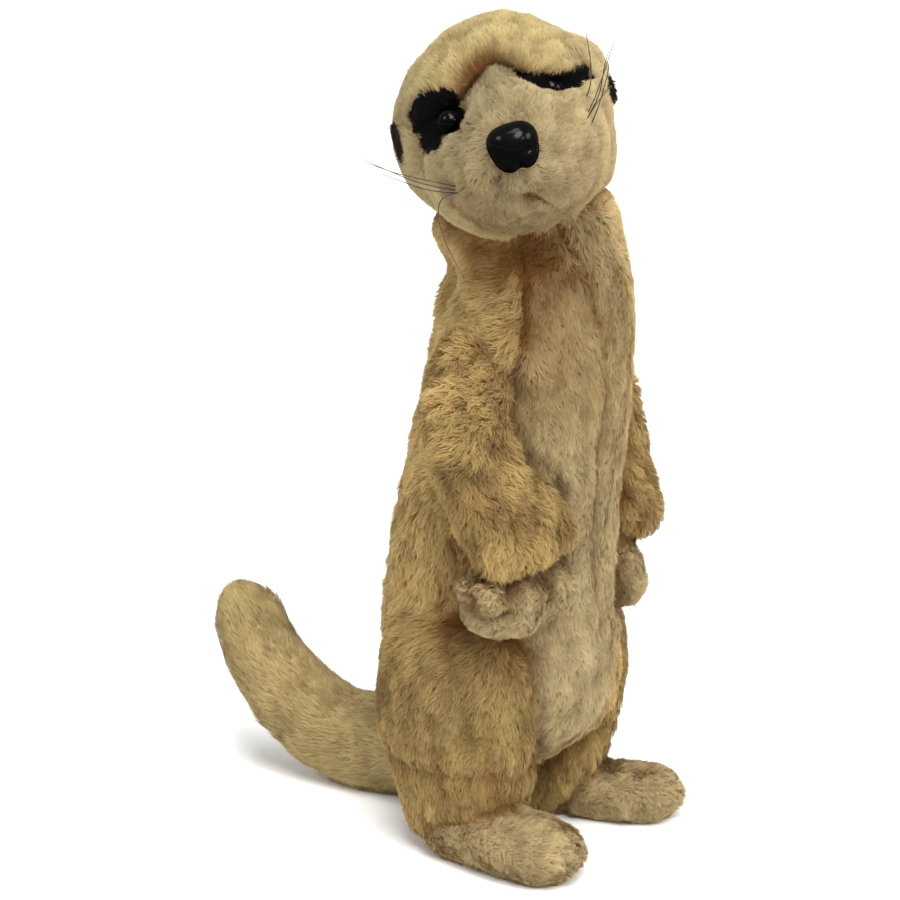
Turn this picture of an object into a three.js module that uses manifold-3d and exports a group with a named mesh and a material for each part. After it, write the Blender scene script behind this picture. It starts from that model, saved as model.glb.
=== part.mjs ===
// A stuffed plush meerkat toy that stands upright, as its separate sewn and moulded pieces.
// Millimetres. The toy faces -Y, its left side is +X, and it stands on the floor z = 0.
// Its hips and feet turn a little to its left and its chest a little to its right. Its head
// turns further to its right, with a tilt towards that shoulder.
import * as THREE from "three";
import { mergeVertices } from "three/addons/utils/BufferGeometryUtils.js";
import Module from "manifold-3d";

const wasm = await Module();
wasm.setup();

// Driving dimensions.
const seamGap = 0.3; // clear space between two pieces that touch
const stance = { x: -9.2, y: -46.7 }; // centres the toy's outline on the origin
const hipTurn = 17; // degrees that the legs face to the toy's left
const collarHeight = 238;
const tailCuts = [0.42, 0.7]; // shares of the tail's line where one length ends

const head = { x: -6, y: -1, z: 288, turn: -40, tilt: -18, nod: -8 };
const skull = { wide: 42.5, deep: 42, high: 41.5 };
const brow = { out: 5.5, span: 6.5, above: 7 }; // the roll above the crease
const crease = { top: 23.5, middle: 2, slopeRight: 0.52, slopeLeft: 0.58 };
const noseAxis = -9.5; // height of the nose's axis against the skull's middle
const nose = { wide: 9.4, deep: 8, high: 8.8, front: 60, taper: 0.13, wideBelow: 0.3 };
const eye = { radius: 4.8, side: 19, up: 6, front: { right: 37.8, left: 34.8 } };
const ears = {
  right: { wide: 4.2, long: 9.3, high: 9.9, side: -39.2, front: 8.5, up: 4.2 },
  left: { wide: 3.2, long: 7, high: 5.8, side: 39.8, front: 8, up: 0.4 },
};
const eyeHollow = { deep: 12, endsAfter: 1.3 }; // the muzzle draws in beside its bridge

// Stations of the stuffed pieces, from one end to the other: x, y, z of the middle, then
// half the width and half the depth.
const bodyStations = [
  [5, 15, 26, 34, 34],
  [5, 14, 55, 46, 44],
  [4, 12, 90, 48, 46],
  [2, 8, 125, 45, 43],
  [3.2, 2.6, 160, 42.3, 42],
  [5, -3, 195, 39, 39],
  [6, -5, 222, 37, 36.5],
  [4.6, -4, 239, 34, 34],
  [-0.5, -0.8, 256, 31.5, 33.5],
  [-3, 1, 278, 33, 34],
];
const bellyStations = [
  [-2, -36, 232, 9, 9],
  [-7, -41, 205, 17, 10],
  [-8, -37, 160, 25, 10],
  [-6, -34, 118, 29, 11],
  [-5, -33, 80, 28, 13],
  [-1, -25, 50, 22, 14],
  [3, -12, 32, 12, 12],
];
const arms = {
  right: [
    [-22, -8, 218, 13, 10],
    [-30, -12, 202, 19, 13.5],
    [-39.5, -19.5, 181, 19, 15.5],
    [-38, -29, 160, 19, 15.5],
    [-29, -35.3, 143, 23.5, 16.5],
    [-23.5, -39.8, 125.5, 22, 14],
  ],
  left: [
    [37, -2, 200, 11, 10],
    [39, -4, 182, 16, 14],
    [42, -7, 161, 17, 15],
    [43.5, -11, 142, 17.5, 15],
    [45, -14, 129, 17, 15],
    [43, -15, 118, 12, 12],
  ],
};
const paws = {
  right: [
    [-34, -32.5, 140, 18, 10],
    [-29.5, -34.5, 122, 26.5, 12.5],
    [-34.5, -32.5, 110, 20, 12.5],
    [-36, -32, 99, 14, 10],
  ],
  left: [
    [41, -14, 127, 9.5, 10],
    [39.5, -15.5, 113, 9.5, 14],
    [39.5, -16.5, 102, 9.5, 14],
    [39.5, -17, 91, 7, 10],
  ],
};
const legs = {
  right: [
    [-20, 2, 119, 16, 21],
    [-24, 1, 99, 22.5, 30],
    [-26, 2, 76, 25.5, 35],
    [-25, 3.5, 51, 25.5, 35.5],
    [-22, 4, 27, 22, 29],
    [-20, 4, -4, 18, 23],
  ],
  left: [
    [34.5, 21.5, 104, 16, 23],
    [39, 21, 84, 24, 31],
    [38.3, 21.5, 61, 25, 33],
    [36, 21, 42, 24, 31],
    [36, 20, 24, 22, 27],
    [36, 20, -4, 20, 25],
  ],
};
const feet = {
  right: [
    [-28, 20, 8, 12, 9],
    [-26, 4, 11, 16.5, 13],
    [-22, -16, 12, 18, 13.5],
    [-17, -36, 11, 18.5, 12.5],
    [-11.5, -55.5, 9, 15.5, 10.5],
  ],
  left: [
    [28, 26, 8, 13, 9],
    [37, 14, 11, 17, 12.5],
    [47, -1, 10.5, 18, 12],
    [58, -15, 10, 18, 11.5],
    [69.3, -28.3, 10.5, 16.5, 11.5],
  ],
};
const tailStations = [
  [7, 44, 26, 21, 21],
  [-3, 71, 20.5, 20.5, 21.5],
  [-14, 93, 20, 19.5, 20.5],
  [-25, 112, 32, 19, 19.5],
  [-32, 127, 50, 17.5, 17.5],
  [-35, 136, 66, 16, 16],
  [-36.5, 142, 81, 15, 15],
];
const muzzleStations = [
  [0, -4, noseAxis, 34, 32],
  [0, -20, noseAxis, 35.5, 32.5],
  [0, -36, noseAxis, 31, 28],
  [0, -50, noseAxis, 22, 20],
  [0, -62, noseAxis, 13, 12],
];

// Of each stuffed piece: the shares of its length that its two domed ends take, and how
// many rings and columns divide its surface.
const forms = {
  body: { ends: [0.15, 0.1], rings: 18, around: 22 },
  panel: { ends: [0.2, 0.2], rings: 12, around: 16 },
  muzzle: { ends: [0.15, 0.35], rings: 12, around: 24 },
  rightArm: { ends: [0.25, 0.12], rings: 10, around: 16 },
  leftArm: { ends: [0.25, 0.25], rings: 10, around: 16 },
  paw: { ends: [0.3, 0.4], rings: 9, around: 16 },
  leg: { ends: [0.3, 0.12], rings: 11, around: 18 },
  foot: { ends: [0.2, 0.2], rings: 12, around: 18 },
  tail: { ends: [0.1, 0.2], rings: 16, around: 18 },
};
const ballFacets = { rings: 9, around: 14 };
const skullFacets = { rings: 16, around: 26 };
const cutReach = 500; // half the width of the blocks that cut, larger than the toy

const fabrics = {
  gold: new THREE.MeshStandardMaterial({ color: 0xb0935c, roughness: 0.95 }),
  cream: new THREE.MeshStandardMaterial({ color: 0xbba888, roughness: 0.95 }),
  brown: new THREE.MeshStandardMaterial({ color: 0x2e1c14, roughness: 0.95 }),
  black: new THREE.MeshStandardMaterial({ color: 0x08080a, roughness: 0.12 }),
};

const squareness = 2.2; // of every stuffed section; 2 would be an ellipse
const poleRadius = 1e-6; // nearer to the axis than this, a point is a pole
const weldGap = 1e-4; // points nearer than this are one
const radians = THREE.MathUtils.degToRad;

// 1 along the middle of a piece, falling to 0 as a dome over each end's share of its length.
function dome(along, firstShare, lastShare) {
  const first = Math.max(0, 1 - along / firstShare);
  const last = Math.max(0, 1 - (1 - along) / lastShare);
  return Math.sqrt(Math.max(0, 1 - Math.max(first, last) ** 2));
}

// A smooth line through points, with the points at even steps of its parameter.
function smoothLine(points) {
  return new THREE.CatmullRomCurve3(points, false, "catmullrom", 0.5);
}

// A closed stuffed piece: a rounded section carried along the line through its stations,
// with domed ends. `side` is the way the section's width runs, `grow` widens it all round,
// and `relief` says how far the surface stands out at a place along and an angle.
function stuffed(stations, { side = [1, 0, 0], ends, rings, around, relief = () => 0 }, grow = 0) {
  const line = smoothLine(stations.map((s) => new THREE.Vector3(s[0], s[1], s[2])));
  const sizes = smoothLine(stations.map((s) => new THREE.Vector3(s[3], s[4], 0)));
  const geometry = new THREE.SphereGeometry(1, around, rings);
  const position = geometry.getAttribute("position");
  const sideways = new THREE.Vector3(...side);
  for (let i = 0; i < position.count; i++) {
    const unit = new THREE.Vector3().fromBufferAttribute(position, i);
    const along = (1 - unit.y) / 2;
    const angle = Math.atan2(unit.z, unit.x);
    const forward = line.getTangent(along);
    const width = sideways.clone().addScaledVector(forward, -sideways.dot(forward)).normalize();
    const depth = forward.clone().cross(width);
    const size = sizes.getPoint(along);
    const across = (Math.abs(Math.cos(angle)) / (size.x + grow)) ** squareness;
    const through = (Math.abs(Math.sin(angle)) / (size.y + grow)) ** squareness;
    const oval = (across + through) ** (-1 / squareness) + relief(along, angle);
    const isPole = Math.hypot(unit.x, unit.z) < poleRadius;
    const radius = isPole ? 0 : oval * dome(along, ...ends);
    const point = line.getPoint(along);
    if (isPole) point.addScaledVector(forward, along < 0.5 ? -grow : grow);
    point.addScaledVector(width, radius * Math.cos(angle));
    point.addScaledVector(depth, radius * Math.sin(angle));
    position.setXYZ(i, point.x, point.y, point.z);
  }
  return geometry;
}

function ball(radii, centre, grow = 0) {
  const geometry = new THREE.SphereGeometry(1, ballFacets.around, ballFacets.rings);
  geometry.scale(...radii.map((radius) => radius + grow));
  geometry.translate(...centre);
  return geometry;
}

// The moulded nose: a dome that narrows from its top to its lower end.
function noseForm(grow = 0) {
  const centre = new THREE.Vector3(0, -nose.front, noseAxis);
  const geometry = ball([nose.wide, nose.deep, nose.high], [0, 0, 0], grow);
  const position = geometry.getAttribute("position");
  for (let i = 0; i < position.count; i++) {
    const low = Math.max(0, nose.wideBelow - position.getZ(i) / nose.high);
    position.setX(i, position.getX(i) * (1 - nose.taper * Math.min(1, low)));
  }
  geometry.translate(centre.x, centre.y, centre.z);
  return geometry;
}

// The solid of a geometry, for manifold-3d to join and cut.
function solid(geometry) {
  const bare = geometry.clone();
  for (const name of ["normal", "uv"]) bare.deleteAttribute(name);
  const merged = mergeVertices(bare, weldGap);
  const vertProperties = new Float32Array(merged.getAttribute("position").array);
  const triVerts = new Uint32Array(merged.index.array);
  return new wasm.Manifold(new wasm.Mesh({ numProp: 3, vertProperties, triVerts }));
}

// A named mesh of a solid.
function piece(name, shape, material) {
  const { vertProperties, triVerts } = shape.getMesh();
  const geometry = new THREE.BufferGeometry();
  geometry.setAttribute("position", new THREE.BufferAttribute(vertProperties, 3));
  geometry.setIndex(new THREE.BufferAttribute(triVerts, 1));
  geometry.computeVertexNormals();
  const mesh = new THREE.Mesh(geometry, material);
  mesh.name = name;
  return mesh;
}

// All of space beyond the plane through `point`, on the side that `facing` points to.
function beyond(point, facing) {
  const up = new THREE.Vector3(0, 0, 1);
  const box = new THREE.BoxGeometry(2 * cutReach, 2 * cutReach, cutReach);
  box.translate(0, 0, cutReach / 2);
  box.applyQuaternion(new THREE.Quaternion().setFromUnitVectors(up, facing));
  box.translate(point.x, point.y, point.z);
  return solid(box);
}

// A solid's two lengths, before and after a thin flat cut across `facing`.
function partedAt(whole, point, facing) {
  return [-1, 1].map((way) => {
    const outward = facing.clone().multiplyScalar(way);
    const start = point.clone().addScaledVector(outward, seamGap / 2);
    return whole.intersect(beyond(start, outward));
  });
}

const onFloor = beyond(new THREE.Vector3(0, 0, 0), new THREE.Vector3(0, 0, 1));
const bodySleeve = solid(stuffed(bodyStations, forms.body, seamGap));

// How high the crease under the brow lies at a place across the forehead: highest between
// the eyes, and falling to each side, with the roll above it over the tops of the eyes.
function browCrease(x) {
  const slope = x > crease.middle ? crease.slopeLeft : crease.slopeRight;
  return crease.top - slope * Math.abs(x - crease.middle);
}

// The stuffed skull, with the soft roll of the brow on its front.
function skullForm(grow = 0) {
  const geometry = new THREE.SphereGeometry(1, skullFacets.around, skullFacets.rings);
  const position = geometry.getAttribute("position");
  for (let i = 0; i < position.count; i++) {
    const unit = new THREE.Vector3().fromBufferAttribute(position, i);
    const across = unit.x * skull.wide;
    const above = (unit.z * skull.high - browCrease(across) - brow.above) / brow.span;
    const facing = Math.max(0, -unit.y);
    const out = 1 + (brow.out * Math.exp(-above * above) * facing) / skull.deep;
    position.setXYZ(
      i,
      unit.x * (skull.wide + grow),
      unit.y * (skull.deep + grow) * out,
      unit.z * (skull.high + grow),
    );
  }
  return geometry;
}

// The muzzle: a blunt cone of pale fabric along the nose axis, drawn in beside its bridge.
function muzzleForm(grow = 0) {
  const relief = (along, angle) => {
    const upperSide = Math.max(0, Math.sin(angle)) * Math.sin(2 * angle) ** 2;
    const share = Math.min(1, along * eyeHollow.endsAfter);
    return -eyeHollow.deep * upperSide * Math.sin(Math.PI * share);
  };
  return stuffed(muzzleStations, { ...forms.muzzle, relief }, grow);
}

// The head and what is on it, in a frame with the nose pointing to -Y.
function headGroup() {
  const group = new THREE.Group();
  group.position.set(head.x, head.y, head.z);
  group.rotation.order = "ZXY";
  group.rotation.set(radians(head.nod), radians(head.tilt), radians(head.turn));
  group.updateMatrix();

  let skullShape = solid(skullForm()).subtract(solid(muzzleForm(seamGap)));
  let muzzleShape = solid(muzzleForm()).subtract(solid(noseForm(seamGap)));
  for (const [name, way] of [["right", -1], ["left", 1]]) {
    const eyeRadii = [eye.radius, eye.radius, eye.radius];
    const eyeCentre = [way * eye.side, -eye.front[name], eye.up];
    const socket = solid(ball(eyeRadii, eyeCentre, seamGap));
    skullShape = skullShape.subtract(socket);
    muzzleShape = muzzleShape.subtract(socket);
    group.add(piece(`eye_${name}`, solid(ball(eyeRadii, eyeCentre)), fabrics.black));
    const ear = ears[name];
    const earFlap = solid(ball([ear.wide, ear.long, ear.high], [ear.side, -ear.front, ear.up]));
    group.add(piece(`ear_${name}`, earFlap.subtract(solid(skullForm(seamGap))), fabrics.brown));
  }
  group.add(piece("head", skullShape, fabrics.gold));
  group.add(piece("muzzle", muzzleShape, fabrics.cream));
  group.add(piece("nose", solid(noseForm()), fabrics.black));
  return group;
}

// Neck, trunk and belly panel: one stuffed column, parted at the collar, with the panel
// let into its front.
function bodyPieces(headFrame) {
  const column = solid(stuffed(bodyStations, forms.body));
  const collar = new THREE.Vector3(0, 0, collarHeight);
  const [trunk, neck] = partedAt(column, collar, new THREE.Vector3(0, 0, 1));
  const panel = trunk.intersect(solid(stuffed(bellyStations, forms.panel)));
  const trunkAround = trunk.subtract(solid(stuffed(bellyStations, forms.panel, seamGap)));
  const underHead = [skullForm, muzzleForm].map((form) => solid(form(seamGap).applyMatrix4(headFrame)));
  return [
    piece("trunk", trunkAround, fabrics.gold),
    piece("belly", panel, fabrics.cream),
    piece("neck", neck.subtract(underHead[0]).subtract(underHead[1]), fabrics.gold),
  ];
}

function armPieces(name) {
  const arm = solid(stuffed(arms[name], forms[`${name}Arm`])).subtract(bodySleeve);
  const pawSleeve = solid(stuffed(paws[name], forms.paw, seamGap));
  const paw = solid(stuffed(paws[name], forms.paw)).subtract(bodySleeve);
  return [
    piece(`arm_${name}`, arm.subtract(pawSleeve), fabrics.gold),
    piece(`paw_${name}`, paw, fabrics.cream),
  ];
}

function legPieces(name) {
  const turn = radians(hipTurn);
  const side = [Math.cos(turn), Math.sin(turn), 0];
  const foot = solid(stuffed(feet[name], forms.foot)).intersect(onFloor);
  const footSleeve = solid(stuffed(feet[name], forms.foot, seamGap));
  const legForm = { ...forms.leg, side };
  const leg = solid(stuffed(legs[name], legForm)).intersect(onFloor).subtract(bodySleeve);
  return [
    piece(`leg_${name}`, leg.subtract(footSleeve), fabrics.gold),
    piece(`foot_${name}`, foot, fabrics.cream),
  ];
}

// The tail lies on the floor behind the body, then curls up; it is parted in three lengths.
function tailPieces() {
  const line = smoothLine(tailStations.map((s) => new THREE.Vector3(s[0], s[1], s[2])));
  const whole = solid(stuffed(tailStations, forms.tail));
  let rest = whole.intersect(onFloor).subtract(bodySleeve);
  const lengths = tailCuts.map((along) => {
    const [before, after] = partedAt(rest, line.getPoint(along), line.getTangent(along));
    rest = after;
    return before;
  });
  const names = ["tail_base", "tail_middle", "tail_tip"];
  return [...lengths, rest].map((shape, i) => piece(names[i], shape, fabrics.gold));
}

const toy = new THREE.Group();
toy.position.set(stance.x, stance.y, 0);
const headOnBody = headGroup();
toy.add(headOnBody, ...bodyPieces(headOnBody.matrix));
for (const name of ["right", "left"]) toy.add(...armPieces(name), ...legPieces(name));
toy.add(...tailPieces());

export default toy;
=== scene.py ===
import itertools
import math
import bpy
import numpy as np
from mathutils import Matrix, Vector


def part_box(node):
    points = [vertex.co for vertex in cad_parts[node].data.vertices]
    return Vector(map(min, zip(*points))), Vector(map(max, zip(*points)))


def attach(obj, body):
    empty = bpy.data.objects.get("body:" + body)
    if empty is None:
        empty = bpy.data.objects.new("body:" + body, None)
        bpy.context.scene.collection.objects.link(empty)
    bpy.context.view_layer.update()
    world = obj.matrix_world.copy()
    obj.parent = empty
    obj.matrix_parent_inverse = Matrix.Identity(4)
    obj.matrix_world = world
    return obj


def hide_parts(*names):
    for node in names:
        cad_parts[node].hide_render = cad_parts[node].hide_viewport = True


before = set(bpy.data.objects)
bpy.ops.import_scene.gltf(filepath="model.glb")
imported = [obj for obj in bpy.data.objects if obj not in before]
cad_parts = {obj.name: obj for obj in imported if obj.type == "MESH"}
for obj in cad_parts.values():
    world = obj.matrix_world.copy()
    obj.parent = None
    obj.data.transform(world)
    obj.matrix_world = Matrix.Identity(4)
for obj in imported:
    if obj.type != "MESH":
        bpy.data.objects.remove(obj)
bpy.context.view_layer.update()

millimetre = 0.001
squareness = 2.2  # of every stuffed section: 2 is an ellipse
random = np.random.default_rng(20)


def unit(vectors):
    # Each vector divided by its own length.
    return vectors / np.maximum(np.linalg.norm(vectors, axis=-1, keepdims=True), 1e-9)


def smoothStep(low, high, values):
    # 0 below low, 1 above high, and 3t^2 - 2t^3 between them.
    t = np.clip((values - low) / (high - low), 0, 1)
    return t * t * (3 - 2 * t)


def bump(values, width):
    # A bell, exp of minus the square of the value over the width.
    return np.exp(-((values / width) ** 2))


# Large primes that scramble a cell's three numbers and the seed.
cellPrimes = {"x": 73856093, "y": 19349663, "z": 83492791, "seed": 6271, "mix": 1274126177}


def cellNumber(cells, seed):
    # A repeatable number from 0 to 1 for each whole-number cell: its three numbers times large
    # primes, mixed bit by bit.
    mixed = cells[..., 0] * cellPrimes["x"] ^ cells[..., 1] * cellPrimes["y"]
    mixed = mixed ^ cells[..., 2] * cellPrimes["z"] ^ seed * cellPrimes["seed"]
    mixed = (mixed ^ (mixed >> 13)) * cellPrimes["mix"] % 2**32
    return ((mixed ^ (mixed >> 16)) & 65535) / 65535


def softNoise(points, size, seed):
    # Smooth noise from -1 to 1: the numbers at the corners of cubes `size` wide, blended across.
    place = points / size
    corner = np.floor(place).astype(np.int64)
    share = place - corner
    share = share * share * (3 - 2 * share)
    total = np.zeros(len(points))
    for step in itertools.product((0, 1), repeat=3):
        weight = np.where(step, share, 1 - share).prod(axis=1)
        total += weight * cellNumber(corner + np.array(step), seed)
    return 2 * total - 1


stuffedGrid = {"rings": 70, "around": 72}  # points along a stuffed piece and round it
# Stations along each stuffed piece: x, y, z of its middle, then half its width and half its depth.
# `ends` are the shares of the length that the two rounded ends take.
bodyForm = {
    "ends": (0.15, 0.1),
    "stations": [
        (5, 15, 26, 34, 34),
        (5, 14, 55, 46, 44),
        (4, 12, 90, 48, 46),
        (2, 8, 125, 45, 43),
        (3.2, 2.6, 160, 42.3, 42),
        (5, -3, 195, 39, 39),
        (6, -5, 222, 37, 36.5),
        (4.6, -4, 239, 34, 34),
        (-0.5, -0.8, 256, 31.5, 33.5),
        (-3, 1, 278, 33, 34),
    ],
}
rightArm = {
    "ends": (0.25, 0.12),
    "stations": [
        (-22, -8, 218, 13, 10),
        (-30, -12, 202, 19, 13.5),
        (-39.5, -19.5, 181, 19, 15.5),
        (-38, -29, 160, 19, 15.5),
        (-29, -35.3, 143, 23.5, 16.5),
        (-23.5, -39.8, 125.5, 22, 14),
    ],
}
leftArm = {
    "ends": (0.25, 0.25),
    "stations": [
        (37, -2, 200, 11, 10),
        (39, -4, 182, 16, 14),
        (42, -7, 161, 17, 15),
        (43.5, -11, 142, 17.5, 15),
        (45, -14, 129, 17, 15),
        (43, -15, 118, 12, 12),
    ],
}
rightPaw = {
    "ends": (0.3, 0.4),
    "stations": [
        (-34, -32.5, 140, 18, 10),
        (-29.5, -34.5, 122, 26.5, 12.5),
        (-34.5, -32.5, 110, 20, 12.5),
        (-36, -32, 99, 14, 10),
    ],
}
leftPaw = {
    "ends": (0.3, 0.4),
    "stations": [
        (41, -14, 127, 9.5, 10),
        (39.5, -15.5, 113, 9.5, 14),
        (39.5, -16.5, 102, 9.5, 14),
        (39.5, -17, 91, 7, 10),
    ],
}
hipTurn = math.radians(17)  # the legs face this far to the toy's left
legSide = (math.cos(hipTurn), math.sin(hipTurn), 0)
rightLeg = {
    "side": legSide,
    "ends": (0.3, 0.12),
    "stations": [
        (-20, 2, 119, 16, 21),
        (-24, 1, 99, 22.5, 30),
        (-26, 2, 76, 25.5, 35),
        (-25, 3.5, 51, 25.5, 35.5),
        (-22, 4, 27, 22, 29),
        (-20, 4, -4, 18, 23),
    ],
}
leftLeg = {
    "side": legSide,
    "ends": (0.3, 0.12),
    "stations": [
        (34.5, 21.5, 104, 16, 23),
        (39, 21, 84, 24, 31),
        (38.3, 21.5, 61, 25, 33),
        (36, 21, 42, 24, 31),
        (36, 20, 24, 22, 27),
        (36, 20, -4, 20, 25),
    ],
}
rightFoot = {
    "ends": (0.2, 0.2),
    "stations": [
        (-28, 20, 8, 12, 9),
        (-26, 4, 11, 16.5, 13),
        (-22, -16, 12, 18, 13.5),
        (-17, -36, 11, 18.5, 12.5),
        (-11.5, -55.5, 9, 15.5, 10.5),
    ],
}
leftFoot = {
    "ends": (0.2, 0.2),
    "stations": [
        (28, 26, 8, 13, 9),
        (37, 14, 11, 17, 12.5),
        (47, -1, 10.5, 18, 12),
        (58, -15, 10, 18, 11.5),
        (69.3, -28.3, 10.5, 16.5, 11.5),
    ],
}
tailForm = {
    "ends": (0.1, 0.2),
    "stations": [
        (7, 44, 26, 21, 21),
        (-3, 71, 20.5, 20.5, 21.5),
        (-14, 93, 20, 19.5, 20.5),
        (-25, 112, 32, 19, 19.5),
        (-32, 127, 50, 17.5, 17.5),
        (-35, 136, 66, 16, 16),
        (-36.5, 142, 81, 15, 15),
    ],
}
noseAxis = -9.5  # height of the nose's axis against the skull's middle, in the head's frame
muzzleForm = {
    "ends": (0.15, 0.35),
    "stations": [
        (0, -4, noseAxis, 34, 32),
        (0, -20, noseAxis, 35.5, 32.5),
        (0, -36, noseAxis, 31, 28),
        (0, -50, noseAxis, 22, 20),
        (0, -62, noseAxis, 13, 12),
    ],
    "eyeHollow": 12,  # how far it draws in beside its bridge, to bare the eyes
    "hollowPace": 1.3,  # above 1, the hollow ends before the muzzle's tip
}
skullForm = {
    "radii": (42.5, 42, 41.5),
    "browOut": 5.5,  # how far the brow's roll stands out
    "browSpan": 6.5,
    "browAbove": 7,  # from the brow's lower edge up to the middle of its roll
    "grid": (80, 96),
}
headPose = {"turn": -40, "tilt": -18, "nod": -8}  # degrees
# Middles of the eyes in the head's frame. The left one lies deeper, under the brow.
eyes = {"right": np.array((-19, -37.8, 6)), "left": np.array((19, -34.8, 6))}
eyeRadius = 4.8
eyeGrid = (28, 40)
# Soft unevenness of the stuffed head: the way each lump faces, its height and its width.
headLumps = [
    ((0.94, 0.06, 0.35), 2.8, 11),
    ((0.98, 0.0, -0.2), -2.6, 10),
    ((0.75, -0.04, -0.66), 1.2, 13),
    ((-0.98, -0.03, 0.0), 1.4, 22),
    ((0.63, 0.1, 0.77), -2.4, 9),
    ((0.2, -0.25, 0.95), 1.6, 14),
]


def smoothLine(stations, at):
    # A cubic between each two stations, whose slope at a station is half the step from the one
    # before it to the one after it. Gives the values and the slopes at shares of the whole line.
    rows = np.array(stations, float)
    steps = len(rows) - 1
    rows = np.vstack([2 * rows[0] - rows[1], rows, 2 * rows[-1] - rows[-2]])
    place = np.clip(at, 0, 1) * steps
    first = np.minimum(place.astype(int), steps - 1)
    t = (place - first)[:, None]
    before, start, end, after = (rows[first + k] for k in range(4))
    slopeIn = (end - before) / 2
    slopeOut = (after - start) / 2
    value = (2 * t**3 - 3 * t**2 + 1) * start + (3 * t**2 - 2 * t**3) * end
    value += (t**3 - 2 * t**2 + t) * slopeIn + (t**3 - t**2) * slopeOut
    slope = 6 * (t**2 - t) * (start - end) + (3 * t**2 - 4 * t + 1) * slopeIn
    slope += (3 * t**2 - 2 * t) * slopeOut
    return value, slope


def spine(form, at):
    # The middle line of a piece, its forward, width and depth directions, and its half sizes.
    value, slope = smoothLine(form["stations"], at)
    forward = unit(slope[:, :3])
    side = np.array(form.get("side", (1, 0, 0)), float)
    width = unit(side - forward * (forward @ side)[:, None])
    return value[:, :3], forward, width, np.cross(forward, width), value[:, 3:]


def dome(at, ends):
    # 1 along the middle, falling to 0 as a quarter circle over each end's share of the length.
    into = np.maximum(np.maximum(1 - at / ends[0], 1 - (1 - at) / ends[1]), 0)
    return np.sqrt(1 - into**2)


def closedGrid(grid, poles):
    # Triangles over a grid of rings that closes round itself, with a fan to a pole at each end.
    rings, around = grid.shape[:2]
    index = 1 + np.arange(rings * around).reshape(rings, around)
    beside = np.roll(index, -1, axis=1)
    here, there, aboveHere, aboveThere = index[:-1], beside[:-1], index[1:], beside[1:]
    last = rings * around + 1
    fans = [
        np.stack([np.zeros(around, int), beside[0], index[0]], 1),
        np.stack([np.full(around, last), index[-1], beside[-1]], 1),
    ]
    walls = [
        np.stack([here, there, aboveThere], -1).reshape(-1, 3),
        np.stack([here, aboveThere, aboveHere], -1).reshape(-1, 3),
    ]
    vertices = np.vstack([poles[0], grid.reshape(-1, 3), poles[1]])
    faces = np.vstack(fans + walls)
    corners = vertices[faces]
    volume = np.einsum("ij,ij->i", corners[:, 0], np.cross(corners[:, 1], corners[:, 2])).sum()
    return vertices, faces if volume > 0 else faces[:, ::-1]


def roundAngles(count):
    # Angles evenly round a full turn.
    return np.linspace(0, 2 * np.pi, count, endpoint=False)


def ringsAlong(middle, width, depth, radius, angle):
    # Rings of points round a line: the radius times the cosine of the angle along the width, and
    # times its sine along the depth.
    grid = middle[:, None] + width[:, None] * (radius * np.cos(angle))[..., None]
    return grid + depth[:, None] * (radius * np.sin(angle))[..., None]


def stuffedSurface(form, relief=None):
    # A rounded section carried along the spine. At an angle its radius is that of a
    # superellipse of the two half sizes, plus the relief, times the dome of the ends.
    at = (1 - np.cos(np.linspace(0, np.pi, stuffedGrid["rings"] + 2)[1:-1])) / 2
    angle = roundAngles(stuffedGrid["around"])
    middle, _, width, depth, half = spine(form, at)
    across = (np.abs(np.cos(angle)) / half[:, :1]) ** squareness
    through = (np.abs(np.sin(angle)) / half[:, 1:]) ** squareness
    radius = (across + through) ** (-1 / squareness)
    if relief:
        radius = radius + relief(at[:, None], angle)
    radius = radius * dome(at, form["ends"])[:, None]
    poles = smoothLine(form["stations"], np.array([0.0, 1.0]))[0][:, :3]
    return closedGrid(ringsAlong(middle, width, depth, radius, angle), poles)


def ballSurface(rings, around):
    # Points at distance 1 from the middle, by the angle down from the top and the angle round.
    down = np.linspace(0, np.pi, rings + 2)[1:-1][:, None]
    angle = roundAngles(around)
    level = np.cos(down) + 0 * angle
    grid = np.stack([np.sin(down) * np.cos(angle), np.sin(down) * np.sin(angle), level], -1)
    return closedGrid(grid, np.array([(0, 0, 1), (0, 0, -1)]))


# The brow's lower edge in the head's frame: height at each place across. It is highest between
# the eyes and hangs lower over the left eye, which it half covers.
browEdge = {
    "across": (-34, -20, -14, -9, -4, 0, 4, 7, 10, 14, 19, 24, 29, 33, 38),
    "height": (9, 11.5, 13, 16.3, 20.4, 23.6, 23.0, 20.2, 17.1, 13.6, 10.8, 9.6, 10.0, 9.8, 6.5),
}


def browHeight(across):
    # Straight lines between the edge's points, averaged over 4 mm so that no corner shows.
    steps = (-2, -1, 0, 1, 2)
    heights = [np.interp(across + step, browEdge["across"], browEdge["height"]) for step in steps]
    return sum(heights) / len(steps)


def skullSurface():
    # An ellipsoid whose front stands out in a roll above the brow's edge.
    vertices, faces = ballSurface(*skullForm["grid"])
    points = vertices * np.array(skullForm["radii"])
    above = points[:, 2] - browHeight(points[:, 0]) - skullForm["browAbove"]
    out = skullForm["browOut"] * bump(above, skullForm["browSpan"]) * np.maximum(0, -vertices[:, 1])
    points[:, 1] *= 1 + out / skullForm["radii"][1]
    for way, height, width in headLumps:
        off = np.arccos(np.clip(vertices @ unit(np.array(way)), -1, 1)) * skullForm["radii"][0]
        points += vertices * (height * bump(off, width))[:, None]
    return points, faces


def muzzleSurface():
    # A blunt cone along the nose's axis, drawn in beside its bridge where the eyes sit.
    def relief(at, angle):
        upperSide = np.maximum(0, np.sin(angle)) * np.sin(2 * angle) ** 2
        along = np.sin(np.pi * np.minimum(1, at * muzzleForm["hollowPace"]))
        return -muzzleForm["eyeHollow"] * upperSide * along

    return stuffedSurface(muzzleForm, relief=relief)


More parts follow.
